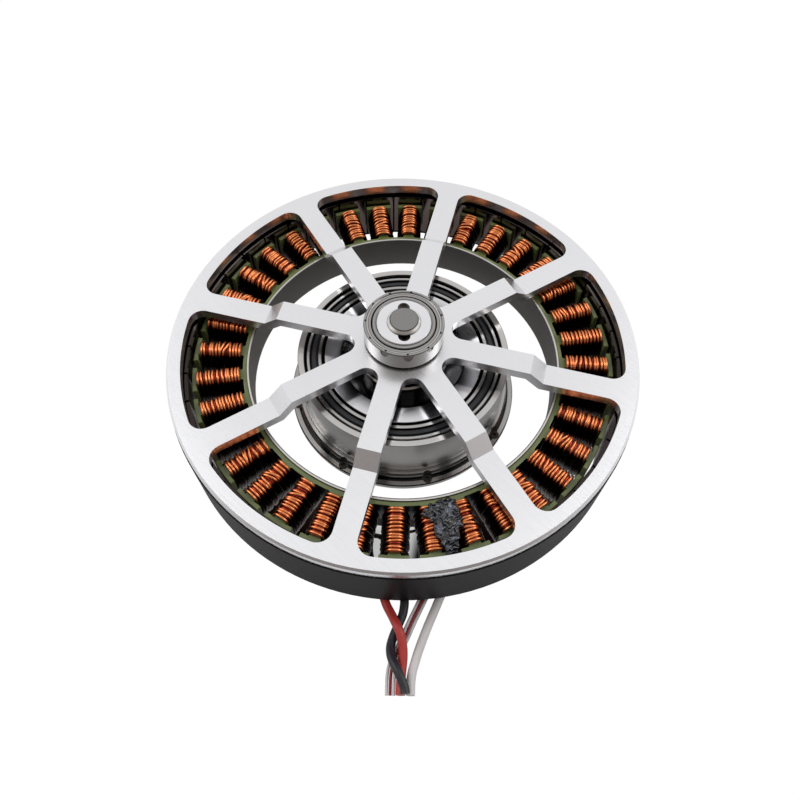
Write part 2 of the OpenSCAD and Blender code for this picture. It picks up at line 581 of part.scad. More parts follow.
module upper_balls() color("silver")
    ball_set(upper_ball_n, carrier_ball_pcr, upper_ball_d, upper_brg_z + upper_brg_w / 2);
module upper_cage() color("goldenrod")
    ball_cage(upper_ball_n, carrier_ball_pcr, upper_ball_d, upper_brg_z + upper_brg_w / 2, 1.4, 5.6);
module lower_outer_race() carrier_outer_race(lower_brg_z, lower_brg_w, lower_ball_d, lower_outer_land_r);
module lower_inner_race() carrier_inner_race(lower_brg_z, lower_brg_w, lower_ball_d, lower_inner_land_r);
module lower_balls() color("silver")
    ball_set(lower_ball_n, carrier_ball_pcr, lower_ball_d, lower_brg_z + lower_brg_w / 2);
module lower_cage() color("goldenrod")
    ball_cage(lower_ball_n, carrier_ball_pcr, lower_ball_d, lower_brg_z + lower_brg_w / 2, 1.2, 3.6);

// Carrier and output
module carrier_top() color("lightgray") difference() {
    rotate_extrude($fn = 120) polygon([[sun_neck_r + 1, top_plate_z], [journal_shoulder_r, top_plate_z],
        [journal_shoulder_r, upper_brg_z - fit], [race_bore_r, upper_brg_z - fit],
        [race_bore_r, upper_brg_top_z - 0.2], [race_bore_r - 0.2, upper_brg_top_z],
        [journal_bore_r + 0.8, upper_brg_top_z], [journal_bore_r, upper_brg_top_z - 0.8],
        [journal_bore_r, recess_z], [sun_race_od_r + 3, recess_z], [sun_race_od_r + 3, sun_brg_z + sun_brg_w],
        [sun_race_od_r, sun_brg_z + sun_brg_w], [sun_race_od_r, recess_z], [sun_neck_r + 1, recess_z]]);
    around(3) at_orbit(planet_orbit_r) translate([0, 0, top_plate_z - cut])
        cylinder(r = pin_r + fit, h = top_plate_t);
    around(3, 60) at_orbit(pillar_orbit_r) translate([0, 0, top_plate_z - cut])
        cylinder(r = 2 + fit, h = 7.5, $fn = 32);
}
module output_carrier() color("gray") difference() {
    union() {
        rotate_extrude($fn = 120) polygon([[0, disc_z], [journal_shoulder_r - 0.4, disc_z],
            [journal_shoulder_r, disc_z + 0.4], [journal_shoulder_r, lower_brg_z - fit],
            [race_bore_r, lower_brg_z - fit], [race_bore_r, disc_top_z], [0, disc_top_z]]);
        around(3, 60) at_orbit(pillar_orbit_r) translate([0, 0, disc_z])
            cylinder(r = pillar_r, h = top_plate_z - fit - disc_z);
    }
    translate([0, 0, -cut]) cylinder(d = output_pilot_d, h = disc_z + 3 + cut);
    around(6, 30) at_orbit(output_pcd / 2) translate([0, 0, -cut])
        cylinder(d = output_hole_d, h = disc_top_z - 0.8 + cut, $fn = 32);
    around(3) at_orbit(planet_orbit_r) translate([0, 0, disc_z + 1.2])
        cylinder(r = pin_r + fit, h = 2 * rim_z);
    around(3, 60) at_orbit(pillar_orbit_r) translate([0, 0, -cut]) {
        cylinder(r = 3.7, h = disc_z + 4 + cut, $fn = 40);
        cylinder(r = 2 + fit, h = 2 * rim_z, $fn = 32);
    }
}
module carrier_screws() color([0.3, 0.3, 0.3]) around(3, 60) at_orbit(pillar_orbit_r) difference() {
    union() {
        translate([0, 0, disc_z + 0.5]) cylinder(r = 3.5, h = 3.5 - fit, $fn = 40);
        translate([0, 0, disc_z + 1]) cylinder(r = 2, h = top_plate_z + 5 - disc_z, $fn = 32);
    }
    translate([0, 0, disc_z]) cylinder(d = 3.4, h = 2.2, $fn = 6);
}
module planet_pins() color("silver") around(3) at_orbit(planet_orbit_r) translate([0, 0, disc_z + 1.2])
    cylinder(r = pin_r, h = top_plate_z + top_plate_t - cut - disc_z - 1.4);
module planet_gear(k) color("lightsteelblue") planet_place(k)
    translate([0, 0, gear_z]) linear_extrude(gear_face) difference() {
        rotate(planet_phase(k)) polygon(gear_points(planet_teeth, planet_pitch_r - 1.25 * gear_module,
            planet_pitch_r + gear_module, backlash));
        circle(r = bush_r + fit);
    }
// Turn of a planet that brings a tooth space to the sun's tooth, seen in the planet's own place
function planet_phase(k) = let (place = 120 * (k - 1))
    180 - 180 / planet_teeth + place * sun_teeth / planet_teeth;
module planet_bush(k) color("goldenrod") planet_place(k) translate([0, 0, gear_z])
    ring(pin_r + running, bush_r, gear_face);
module planet_gear_1() planet_gear(1);
module planet_gear_2() planet_gear(2);
module planet_gear_3() planet_gear(3);
module planet_bush_1() planet_bush(1);
module planet_bush_2() planet_bush(2);
module planet_bush_3() planet_bush(3);

// Sun bearing, between the sun shaft and the carrier
module sun_inner_race() color("silver") translate([0, 0, sun_brg_z])
    race(sun_neck_r + fit, sun_inner_land_r, sun_brg_w, sun_ball_pcr, sun_ball_d);
module sun_outer_race() color("silver") translate([0, 0, sun_brg_z])
    race(sun_outer_land_r, sun_race_od_r - fit, sun_brg_w, sun_ball_pcr, sun_ball_d);
module sun_balls() color("silver") ball_set(sun_ball_n, sun_ball_pcr, sun_ball_d, sun_brg_z + sun_brg_w / 2);
module sun_cage() color("goldenrod")
    ball_cage(sun_ball_n, sun_ball_pcr, sun_ball_d, sun_brg_z + sun_brg_w / 2, 1, 5);

rotor_spider();
flux_ring();
magnets();
sun_shaft();
sun_gear();
lock_screws();
hub_inner_race();
hub_outer_race();
hub_upper_shield();
hub_lower_shield();
hub_balls();
hub_cage();
stator_core();
stator_sleeve();
phase_a_coils();
phase_b_coils();
phase_c_coils();
sensor_potting();
lead_block();
red_lead();
black_lead();
white_lead();
sensor_lead_left();
sensor_lead_middle();
sensor_lead_right();
gear_housing();
base_ring();
flange_screws();
ring_gear();
upper_outer_race();
upper_inner_race();
upper_seal();
upper_balls();
upper_cage();
lower_outer_race();
lower_inner_race();
lower_balls();
lower_cage();
carrier_top();
output_carrier();
carrier_screws();
planet_pins();
planet_gear_1();
planet_gear_2();
planet_gear_3();
planet_bush_1();
planet_bush_2();
planet_bush_3();
sun_inner_race();
sun_outer_race();
sun_balls();
sun_cage();
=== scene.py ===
"""Picture model of the planetary gear motor, laid out as a Blender add-on and run as a script."""

import math
import random

import bpy
from bpy.props import FloatProperty, FloatVectorProperty, IntProperty, PointerProperty
from mathutils import Matrix, Vector


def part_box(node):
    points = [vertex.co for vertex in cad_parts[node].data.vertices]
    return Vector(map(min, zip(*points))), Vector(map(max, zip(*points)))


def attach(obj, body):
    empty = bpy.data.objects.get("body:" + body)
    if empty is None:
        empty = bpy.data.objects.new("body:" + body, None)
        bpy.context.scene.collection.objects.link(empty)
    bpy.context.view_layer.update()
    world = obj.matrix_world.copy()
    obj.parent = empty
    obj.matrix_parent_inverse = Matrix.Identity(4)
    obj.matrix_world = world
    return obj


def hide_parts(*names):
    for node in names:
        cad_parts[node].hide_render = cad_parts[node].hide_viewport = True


bl_info = {
    "name": "Planetary gear motor",
    "version": (1, 0, 0),
    "blender": (4, 5, 0),
    "location": "View3D > Sidebar > Gear motor",
    "description": "Windings, leads, bearing shield, finishes and stage of a planetary gear motor",
    "category": "Object",
}

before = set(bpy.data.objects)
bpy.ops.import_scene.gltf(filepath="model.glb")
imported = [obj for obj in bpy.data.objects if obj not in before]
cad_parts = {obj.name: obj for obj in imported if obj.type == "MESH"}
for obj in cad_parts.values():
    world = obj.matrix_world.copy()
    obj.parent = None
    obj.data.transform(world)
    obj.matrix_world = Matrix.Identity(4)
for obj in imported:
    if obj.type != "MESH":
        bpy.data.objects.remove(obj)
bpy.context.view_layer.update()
MM = 0.001
PHOTO_WIDTH = 800
SHIFT_PIXELS = 2.3
VIEW_HEADING = 13.13


# Sizes that a user may change


def length(name, description, millimetres):
    return FloatProperty(name=name, description=description, default=millimetres * MM, unit="LENGTH")


def angle(name, description, degrees):
    return FloatProperty(name=name, description=description, default=math.radians(degrees), unit="ROTATION")


def colour(name, description, default):
    return FloatVectorProperty(name=name, description=description, default=default, subtype="COLOR")


def count(name, description, default, low, high):
    return IntProperty(name=name, description=description, default=default, min=low, max=high)


class WindingSettings(bpy.types.PropertyGroup):
    """Sizes of the copper windings"""

    wire: length("Wire", "Diameter of the magnet wire", 1.2)
    turns: count("Outer turns", "Turns of the outer layer", 12, 8, 18)
    inner_turns: count("Inner turns", "Turns of the inner layer", 16, 6, 20)
    slant: angle("Slant", "Largest slant of a stray turn", 27)
    copper: colour("Copper", "Colour of the enamelled wire", (0.84, 0.29, 0.095))
    # The inner layer is the same copper painted darker, as painted shade between the turns.
    inner_copper_painted_shade: colour("Inner copper", "Colour of the inner layer", (0.30, 0.035, 0.014))


class LeadSettings(bpy.types.PropertyGroup):
    """Sizes of the leads"""

    phase_wire: length("Phase lead", "Diameter of a phase lead", 4.0)
    sensor_wire: length("Sensor lead", "Diameter of a sensor lead", 1.4)
    red: colour("Red", "Red silicone", (0.42, 0.035, 0.028))
    black: colour("Black", "Black silicone", (0.012, 0.012, 0.018))
    white: colour("White", "White silicone", (0.60, 0.57, 0.57))
    dark_red: colour("Dark red", "Thin dark red silicone", (0.22, 0.012, 0.02))


class MetalSettings(bpy.types.PropertyGroup):
    """Colours of the metals and coatings"""

    aluminium: colour("Aluminium", "Colour of the machined aluminium", (0.86, 0.86, 0.88))
    black_ring: colour("Black ring", "Colour of the coated steel ring", (0.011, 0.010, 0.011))
    lacquer: colour("Green lacquer", "Colour of the coated laminations", (0.120, 0.148, 0.046))


class CameraSettings(bpy.types.PropertyGroup):
    """Where the camera stands"""

    place: FloatVectorProperty(
        name="Place",
        description="Place of the camera",
        default=(0.0443, -0.1899, 0.3254),
        subtype="TRANSLATION",
    )
    heading: angle("Heading", "Turn about the vertical", VIEW_HEADING)
    pitch: angle("Pitch", "Look below the horizon", 59.90)
    roll: angle("Roll", "Turn about the line of sight", 1.25)
    lens: FloatProperty(name="Lens", description="Focal length in millimetres", default=32.6, unit="CAMERA")


# Helpers for shaping


def settings(name):
    return getattr(bpy.context.scene, name)


def start_piece():
    """Nothing is selected before a new piece is added."""
    if bpy.context.object and bpy.context.object.mode != "OBJECT":
        bpy.ops.object.mode_set(mode="OBJECT")
    bpy.ops.object.select_all(action="DESELECT")


def only(obj):
    start_piece()
    obj.select_set(True)
    bpy.context.view_layer.objects.active = obj


def settle(obj):
    """The place goes into the mesh, so that the object sits at the origin."""
    only(obj)
    bpy.ops.object.transform_apply(location=True, rotation=True, scale=True)


def shift(x, y, z):
    """A move by millimetres."""
    return Matrix.Translation((x * MM, y * MM, z * MM))


def spin(angle, axis="Z"):
    """A turn by radians."""
    return Matrix.Rotation(angle, 4, axis)


def join(parts, name):
    start_piece()
    for part in parts:
        part.select_set(True)
    bpy.context.view_layer.objects.active = parts[0]
    bpy.ops.object.join()
    parts[0].name = name
    parts[0].data.name = name
    return parts[0]


def copy_of(obj, matrix):
    """A copy with its own mesh, moved in the mesh."""
    twin = obj.copy()
    twin.data = obj.data.copy()
    twin.data.transform(matrix)
    bpy.context.collection.objects.link(twin)
    return twin


def modify(obj, name, kind, **values):
    modifier = obj.modifiers.new(name, kind)
    for key, value in values.items():
        setattr(modifier, key, value)


def apply_modifiers(obj):
    only(obj)
    for modifier in list(obj.modifiers):
        bpy.ops.object.modifier_apply(modifier=modifier.name)


def finish_mesh(obj, smooth):
    """A finished mesh piece of the stator, smooth up to the angle."""
    only(obj)
    bpy.ops.object.shade_smooth_by_angle(angle=math.radians(smooth))
    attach(obj, "stator")


# Helpers for materials

# The noise values that give the lowest and the highest roughness
NOISE_LOW, NOISE_HIGH = 0.3, 0.7
TOOL_MARK = 0.02 * MM


def new_material(name):
    material = bpy.data.materials.new(name)
    material.use_nodes = True
    tree = material.node_tree
    return material, tree, tree.nodes["Principled BSDF"]


def toned(color, *levels):
    """The colour times one level, or times a level for each channel, as a socket takes it."""
    levels = levels * 3 if len(levels) == 1 else levels
    return (*[min(1, channel * level) for channel, level in zip(color, levels)], 1)


def constants(shader, **values):
    """Values that are the same all over the surface, on the shader's own sockets."""
    for key, value in values.items():
        shader.inputs[key.replace("_", " ")].default_value = value


def feed(tree, socket, value):
    """A link where the value is another node's output, or else the plain value."""
    if isinstance(value, bpy.types.NodeSocket):
        tree.links.new(value, socket)
    else:
        socket.default_value = value


def math_node(tree, operation, *values):
    node = tree.nodes.new("ShaderNodeMath")
    node.operation = operation
    for socket, value in zip(node.inputs, values):
        feed(tree, socket, value)
    return node.outputs[0]


def product(tree, a, b):
    return math_node(tree, "MULTIPLY", a, b)


def vector_node(tree, operation, *values):
    node = tree.nodes.new("ShaderNodeVectorMath")
    node.operation = operation
    for socket, value in zip(node.inputs, values):
        feed(tree, socket, value)
    return node.outputs["Value" if operation in {"LENGTH", "DISTANCE", "DOT_PRODUCT"} else "Vector"]


def map_range(tree, value, start, end, low=0.0, high=1.0, smooth=False):
    """How far the value is from start to end, put out as low to high."""
    node = tree.nodes.new("ShaderNodeMapRange")
    node.interpolation_type = "SMOOTHSTEP" if smooth else "LINEAR"
    numbers = {"From Min": start, "From Max": end, "To Min": low, "To Max": high}
    for name, number in numbers.items():
        node.inputs[name].default_value = number
    tree.links.new(value, node.inputs["Value"])
    return node.outputs[0]


def blend(tree, factor, a, b):
    """A colour between a and b."""
    node = tree.nodes.new("ShaderNodeMix")
    node.data_type = "RGBA"
    for name, value in (("Factor", factor), ("A", a), ("B", b)):
        feed(tree, node.inputs[name], value)
    return node.outputs["Result"]


def object_place(tree):
    return tree.nodes.new("ShaderNodeTexCoord").outputs["Object"]


def split(tree, vector):
    node = tree.nodes.new("ShaderNodeSeparateXYZ")
    tree.links.new(vector, node.inputs[0])
    return node.outputs


def face_normal(tree):
    return split(tree, tree.nodes.new("ShaderNodeNewGeometry").outputs["Normal"])


def axis_distance(tree, place):
    """The distance from the Z axis."""
    return vector_node(tree, "LENGTH", vector_node(tree, "MULTIPLY", place, (1, 1, 0)))


def noise(tree, vector, scale, detail, distortion=0.0):
    node = tree.nodes.new("ShaderNodeTexNoise")
    feed(tree, node.inputs["Vector"], vector)
    feed(tree, node.inputs["Scale"], scale)
    node.inputs["Detail"].default_value = detail
    node.inputs["Distortion"].default_value = distortion
    return node.outputs[0]


def relief(tree, shader, height, strength, distance):
    """Fine dents that follow a height."""
    node = tree.nodes.new("ShaderNodeBump")
    node.inputs["Strength"].default_value = strength
    node.inputs["Distance"].default_value = distance
    tree.links.new(height, node.inputs["Height"])
    tree.links.new(node.outputs[0], shader.inputs["Normal"])


def machined(tree, shader, height, roughness, bump):
    """Roughness and tool marks that follow the height of a shared effect."""
    tree.links.new(map_range(tree, height, NOISE_LOW, NOISE_HIGH, *roughness), shader.inputs["Roughness"])
    relief(tree, shader, height, bump, TOOL_MARK)


def new_group(name, inputs, outputs):
    """A node group with its sockets. Each input has a name, a value and its lowest and highest value."""
    tree = bpy.data.node_groups.new(name, "ShaderNodeTree")
    for label, value, low, high in inputs:
        socket = tree.interface.new_socket(name=label, in_out="INPUT", socket_type="NodeSocketFloat")
        socket.default_value = value
        socket.min_value, socket.max_value = low, high
    for label in outputs:
        tree.interface.new_socket(name=label, in_out="OUTPUT", socket_type="NodeSocketFloat")
    return tree, tree.nodes.new("NodeGroupInput").outputs, tree.nodes.new("NodeGroupOutput").inputs


def turned_face_group():
    """Fine turning lines round the Z axis, with a slower change of tone. Puts out a height and a mask."""
    tree, entry, leave = new_group(
        "Turning lines",
        (("Lines per metre", 3000.0, 1.0, 20000.0), ("Blotch size", 30.0, 0.0, 1000.0)),
        ("Height", "Mask"),
    )
    place = object_place(tree)
    across = math_node(tree, "ADD", axis_distance(tree, place), split(tree, place)["Z"])
    lines = tree.nodes.new("ShaderNodeTexNoise")
    lines.noise_dimensions = "1D"
    lines.inputs["Scale"].default_value = 1.0
    lines.inputs["Detail"].default_value = 3.0
    tree.links.new(product(tree, across, entry["Lines per metre"]), lines.inputs["W"])
    tree.links.new(lines.outputs[0], leave["Height"])
    tree.links.new(noise(tree, place, entry["Blotch size"], 4.0), leave["Mask"])
    return tree


def brushed_group():
    """Straight brushing lines along one direction. Puts out a height and a mask of slow change."""
    tree, entry, leave = new_group(
        "Brushing lines",
        (
            ("Angle", 0.0, -7.0, 7.0),
            ("Lines per metre", 2500.0, 1.0, 20000.0),
            ("Blotch size", 20.0, 0.0, 1000.0),
        ),
        ("Height", "Mask"),
    )
    place = object_place(tree)
    turn = tree.nodes.new("ShaderNodeVectorRotate")
    turn.rotation_type = "Z_AXIS"
    tree.links.new(place, turn.inputs["Vector"])
    tree.links.new(entry["Angle"], turn.inputs["Angle"])
    stretched = vector_node(tree, "MULTIPLY", turn.outputs[0], (0.012, 1.0, 1.0))
    tree.links.new(noise(tree, stretched, entry["Lines per metre"], 3.0), leave["Height"])
    tree.links.new(noise(tree, place, entry["Blotch size"], 5.0), leave["Mask"])
    return tree


def grain_group():
    """Fine and coarse noise for coatings and mouldings. Puts out a height and a mask."""
    tree, entry, leave = new_group(
        "Grain",
        (("Fine scale", 3000.0, 1.0, 20000.0), ("Coarse scale", 60.0, 0.0, 1000.0)),
        ("Height", "Mask"),
    )
    place = object_place(tree)
    tree.links.new(noise(tree, place, entry["Fine scale"], 2.0), leave["Height"])
    tree.links.new(noise(tree, place, entry["Coarse scale"], 5.0), leave["Mask"])
    return tree


def turned_place_group():
    """Puts out the distance from the Z axis, and how far a face looks upwards."""
    tree, _, leave = new_group("Turned place", (), ("Radius", "Upward"))
    tree.links.new(axis_distance(tree, object_place(tree)), leave["Radius"])
    tree.links.new(face_normal(tree)["Z"], leave["Upward"])
    return tree


def effect(tree, name, values=None):
    """The outputs of a shared effect, which is made when it is first asked for."""
    makers = {
        "Turning lines": turned_face_group,
        "Brushing lines": brushed_group,
        "Grain": grain_group,
        "Turned place": turned_place_group,
    }
    node = tree.nodes.new("ShaderNodeGroup")
    node.node_tree = bpy.data.node_groups.get(name) or makers[name]()
    for key, value in (values or {}).items():
        node.inputs[key].default_value = value
    return node.outputs


def finish_material(
    name, color, effect_name, values, metallic=1.0, roughness=(0.25, 0.35), shade=0.12, bump=0.05, **others
):
    """A material whose colour, roughness and bump follow one of the shared effects."""
    material, tree, shader = new_material(name)
    marks = effect(tree, effect_name, values)
    tone = blend(tree, marks["Mask"], toned(color, 1 - shade), toned(color, 1 + shade))
    tree.links.new(tone, shader.inputs["Base Color"])
    machined(tree, shader, marks["Height"], roughness, bump)
    constants(shader, Metallic=metallic, **others)
    return material


def ringed_material(
    name, tint, stops, painted_side_tone, roughness=(0.14, 0.24), lines=5000.0, metallic=1.0, shade=0.06, dots=None
):
    """A turned piece whose upward faces change tone in rings, with painted light among them: thin dark rings
    are painted shade in grooves and gaps, thin bright rings are painted highlights on edges. The side faces
    take one tone of their own, which paints their shade and light apart from the upward faces. Each stop is a
    radius and a tone.
    """
    material, tree, shader = new_material(name)
    place = effect(tree, "Turned place")
    low, high = stops[0][0], stops[-1][0]
    ramp = tree.nodes.new("ShaderNodeValToRGB")
    for index, (radius, tone) in enumerate(stops):
        where = (radius - low) / (high - low)
        element = ramp.color_ramp.elements[index] if index < 2 else ramp.color_ramp.elements.new(where)
        element.position = where
        element.color = toned(tint, tone)
    tree.links.new(map_range(tree, place["Radius"], low * MM, high * MM), ramp.inputs["Fac"])
    upward = map_range(tree, place["Upward"], 0.35, 0.65)
    # Upward faces take the ring tones, the other faces the one painted side tone.
    color = blend(tree, upward, toned(tint, painted_side_tone), ramp.outputs["Color"])
    turning = effect(tree, "Turning lines", {"Lines per metre": lines, "Blotch size": 45.0})
    worn = map_range(tree, turning["Mask"], 0, 1, 1 - 2 * shade, 1 + shade)
    color = vector_node(tree, "MULTIPLY", color, worn)
    if dots:
        # The dots are painted near black: painted shade in small pits.
        color = blend(tree, product(tree, dotted(tree, place["Radius"], *dots), upward), color, PIT_PAINTED_SHADE)
    tree.links.new(color, shader.inputs["Base Color"])
    machined(tree, shader, turning["Height"], roughness, 0.15)
    constants(shader, Metallic=metallic)
    return material


def dotted(tree, distance, count, start, radius, size):
    """One on a ring of round dots about the Z axis. The ring starts at an azimuth in degrees."""
    place = split(tree, object_place(tree))
    azimuth = math_node(tree, "ARCTAN2", place["Y"], place["X"])
    azimuth = math_node(tree, "SUBTRACT", azimuth, math.radians(start) - math.pi / count)
    part = math_node(tree, "FRACT", product(tree, azimuth, count / math.tau))
    aside = product(tree, math_node(tree, "SUBTRACT", part, 0.5), math.tau / count * radius * MM)
    away = math_node(tree, "SUBTRACT", distance, radius * MM)
    squares = math_node(tree, "ADD", product(tree, aside, aside), product(tree, away, away))
    return math_node(tree, "LESS_THAN", squares, (size * MM) ** 2)


def spider_aluminium():
    return finish_material(
        "spider_aluminium", settings("motor_metal").aluminium, "Brushing lines",
        {"Angle": 0.5, "Lines per metre": 4200.0, "Blotch size": 14.0},
        roughness=(0.26, 0.34), shade=0.04, bump=0.1, Anisotropic=0.3,
    )


def turned_aluminium():
    return finish_material(
        "turned_aluminium", (0.60, 0.60, 0.62), "Turning lines",
        {"Lines per metre": 3500.0, "Blotch size": 30.0},
        roughness=(0.18, 0.30), shade=0.06, bump=0.3,
    )


def silicone(name, color):
    return finish_material(
        name, color, "Grain", {"Fine scale": 2500.0, "Coarse scale": 90.0},
        metallic=0.0, roughness=(0.38, 0.52), bump=0.08, Specular_IOR_Level=0.45,
    )


# Radii between which the walls of the slots lie
SLOT_FROM, SLOT_TO = 77.0, 98.9
# The upright faces in the slots are painted near black: painted shade deep in the slots.
SLOT_WALL_PAINTED_SHADE = (0.006, 0.006, 0.007, 1)


def lacquered_laminations():
    """Green lacquer on the faces of the stack and fine sheet lines on its edges. The upright faces in the slots
    get painted shade, near black.
    """
    material, tree, shader = new_material("lacquered_laminations")
    place = object_place(tree)
    radius = axis_distance(tree, place)
    upright = math_node(tree, "LESS_THAN", math_node(tree, "ABSOLUTE", face_normal(tree)["Z"]), 0.5)
    beyond_yoke = math_node(tree, "GREATER_THAN", radius, SLOT_FROM * MM)
    before_tip = math_node(tree, "LESS_THAN", radius, SLOT_TO * MM)
    # Painted shade goes on the upright faces between the yoke and the tooth tips.
    slot_wall_shade_mask = product(tree, product(tree, beyond_yoke, before_tip), upright)
    grain = effect(tree, "Grain", {"Coarse scale": 120.0})
    green = settings("motor_metal").lacquer
    tone = blend(tree, grain["Mask"], toned(green, 0.6, 0.65, 0.5), toned(green, 1.35, 1.3, 1.45))
    tree.links.new(blend(tree, slot_wall_shade_mask, tone, SLOT_WALL_PAINTED_SHADE), shader.inputs["Base Color"])
    sheets = tree.nodes.new("ShaderNodeTexWave")
    sheets.bands_direction = "Z"
    sheets.inputs["Scale"].default_value = 450.0
    tree.links.new(place, sheets.inputs["Vector"])
    relief(tree, shader, sheets.outputs["Fac"], strength=0.4, distance=0.05 * MM)
    constants(shader, Metallic=0.0, Roughness=0.36, Coat_Weight=0.25, Coat_Roughness=0.2)
    return material


# Pieces


class MOTOR_OT_camera(bpy.types.Operator):
    """Puts the camera where the photograph was taken"""

    bl_idname = "motor.camera"
    bl_label = "Place the camera"

    def execute(self, context):
        values = settings("motor_camera")
        data = bpy.data.cameras.new("Camera")
        camera = bpy.data.objects.new("Camera", data)
        context.collection.objects.link(camera)
        turn = spin(values.heading) @ spin(math.pi / 2 - values.pitch, "X") @ spin(values.roll)
        camera.matrix_world = Matrix.Translation(values.place) @ turn
        data.sensor_width = 36.0
        data.lens = values.lens
        data.shift_x = -SHIFT_PIXELS / PHOTO_WIDTH
        data.clip_start = 0.01
        context.scene.camera = camera
        return {"FINISHED"}


# Routes of the leads: sideways place, distance from the axis and height, in the leads' own direction
LEAD_TURN = math.radians(13)
RED_ROUTE = (
    (-14, 86, 8), (-14, 89, 8), (-13.6, 92, 7.4), (-12.6, 95, 6.1), (-11.2, 98, 4.6), (-9.6, 101.5, 3),
    (-7.9, 105, 2.1), (-6.2, 109, 2.05), (-4.6, 113, 2.1), (-3, 116, 2.8), (-2, 118, 3.9), (-1.1, 120, 5.3),
    (0.1, 122.5, 6.3), (1.3, 125, 6.4), (2.2, 128, 5.6), (2.8, 131, 4.4), (3, 134, 3.4), (2.9, 137, 2.6),
    (2.6, 140, 2.2), (2.3, 144, 2.05), (2.2, 150, 2.05),
)
BLACK_ROUTE = (
    (-1, 86, 8), (-1, 89, 8), (-0.7, 92, 7.4), (0, 95, 6.1), (0.9, 98, 4.6), (1.9, 101.5, 3), (2.7, 105, 2.1),
    (3.1, 109, 2.05), (3.1, 113, 2.05), (2.4, 117, 2.05), (1.2, 120, 2.05), (-0.3, 123.5, 2.05),
    (-1.6, 127, 2.1), (-2.4, 130.5, 2.6), (-2.3, 133.5, 3.6), (-1.5, 136.5, 4.8), (0, 139.5, 5.9),
    (1.6, 142.5, 6.3), (3, 145.5, 6.1), (4, 148, 5.8), (4.3, 150, 5.7),
)
WHITE_ROUTE = (
    (27, 86, 8), (27, 89, 8), (26.5, 92, 7.4), (25.3, 95, 6.1), (23.9, 98, 4.6), (22.2, 101.5, 2.7),
    (20.6, 105, 2.05), (18.9, 109, 2.05), (17.2, 113, 2.05), (15.5, 117, 2.05), (13.8, 121, 2.05),
    (12.2, 125, 2.05), (10.7, 129, 2.05), (9.3, 133, 2.05), (8.1, 137, 2.05), (7, 141, 2.05),
    (6.5, 145, 2.05), (6.4, 150, 2.05),
)
SENSOR_ROUTE = (
    (18, 86, 8), (18, 88, 7.9), (17.8, 91, 6.9), (17.3, 94, 5.2), (16.6, 97, 3.5), (15.6, 100, 2),
    (14.4, 103, 1), (13, 106, 0.75), (11.1, 110, 0.75), (9.2, 114, 0.75), (7.3, 118, 0.75), (5.5, 122, 0.75),
    (3.8, 126, 0.75), (1.9, 130, 0.75), (0, 134, 0.75), (-1.4, 138, 0.75), (-2, 142, 0.75), (-2.1, 146, 0.75),
    (-2.1, 150, 0.75),
)
SENSOR_PITCH = 1.55
SLEEVING_TO = 97
SLEEVING_WALL = 0.45


def lead_points(route, aside):
    """The route's points, turned from the leads' own direction into the frame, in metres."""
    points = []
    for x, out, z in route:
        x += aside
        points.append(
            Vector(
                (
                    x * math.cos(LEAD_TURN) + out * math.sin(LEAD_TURN),
                    x * math.sin(LEAD_TURN) - out * math.cos(LEAD_TURN),
                    z,
                )
            )
            * MM
        )
    return points


def round_strand(name, points, diameter, material):
    """A round strand along a smooth line through the points."""
    data = bpy.data.curves.new(name, "CURVE")
    data.dimensions = "3D"
    data.bevel_depth = diameter / 2
    data.bevel_resolution = 5
    data.resolution_u = 6
    data.use_fill_caps = True
    spline = data.splines.new("BEZIER")
    spline.bezier_points.add(len(points) - 1)
    for point, place in zip(spline.bezier_points, points):
        point.co = place
        point.handle_left_type = "AUTO"
        point.handle_right_type = "AUTO"
    obj = bpy.data.objects.new(name, data)
    bpy.context.collection.objects.link(obj)
    data.materials.append(material)
    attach(obj, "stator")
    return obj


def make_lead(name, node, route, diameter, material, aside=0.0, sleeving=None):
    points = lead_points(route, aside)
    obj = round_strand(name, points, diameter, material)
    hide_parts(node)
    if sleeving:
        covered = [point for point, step in zip(points, route) if step[1] < SLEEVING_TO]
        width = diameter + 2 * SLEEVING_WALL * MM
        round_strand(name + "_sleeving", covered, width, sleeving)


class MOTOR_OT_leads(bpy.types.Operator):
    """Lays the three phase leads and the three thin sensor leads on the table"""

    bl_idname = "motor.leads"
    bl_label = "Lay the leads"

    def execute(self, context):
        values = settings("motor_leads")
        red = silicone("red_silicone", values.red)
        black = silicone("black_silicone", values.black)
        white = silicone("white_silicone", values.white)
        dark = silicone("dark_red_silicone", values.dark_red)
        cover = silicone("shrunk_sleeving", (0.008, 0.008, 0.009))
        for phase, route, material in (
            ("red", RED_ROUTE, red), ("black", BLACK_ROUTE, black), ("white", WHITE_ROUTE, white)
        ):
            make_lead(
                "phase_lead_" + phase, phase + "_lead", route, values.phase_wire, material,
                sleeving=cover,
            )
        for side, aside, material, slot in (
            ("left", -SENSOR_PITCH, white, "white_silicone"),
            ("middle", 0.0, dark, "red_silicone"),
            ("right", SENSOR_PITCH, white, "white_silicone"),
        ):
            make_lead(
                "thin_lead_" + side, "sensor_lead_" + side, SENSOR_ROUTE, values.sensor_wire, material,
                aside=aside,
            )
        return {"FINISHED"}


# The coils in millimetres: height of their middle, inner and outer radius, and half of their section
COIL_MIDDLE = 22.4
COIL_FROM, COIL_TO = 78.7, 98.7
COIL_HALF_WIDTH, COIL_HALF_HEIGHT = 6.4, 11.7
# How far a turn stands out at mid-height
BELLY = 0.45
# How far the inner layer lies inside the outer one, in diameters of the wire
LAYER_STEP = 0.85
INNER_SLANT = math.radians(2.5)
STRAY_CHANCE = 0.8
PHASES = "abc"
COILS_PER_PHASE = 12
# Azimuth of the first tooth and the step to the next, in degrees
FIRST_TOOTH, TOOTH_STEP = 2, 10


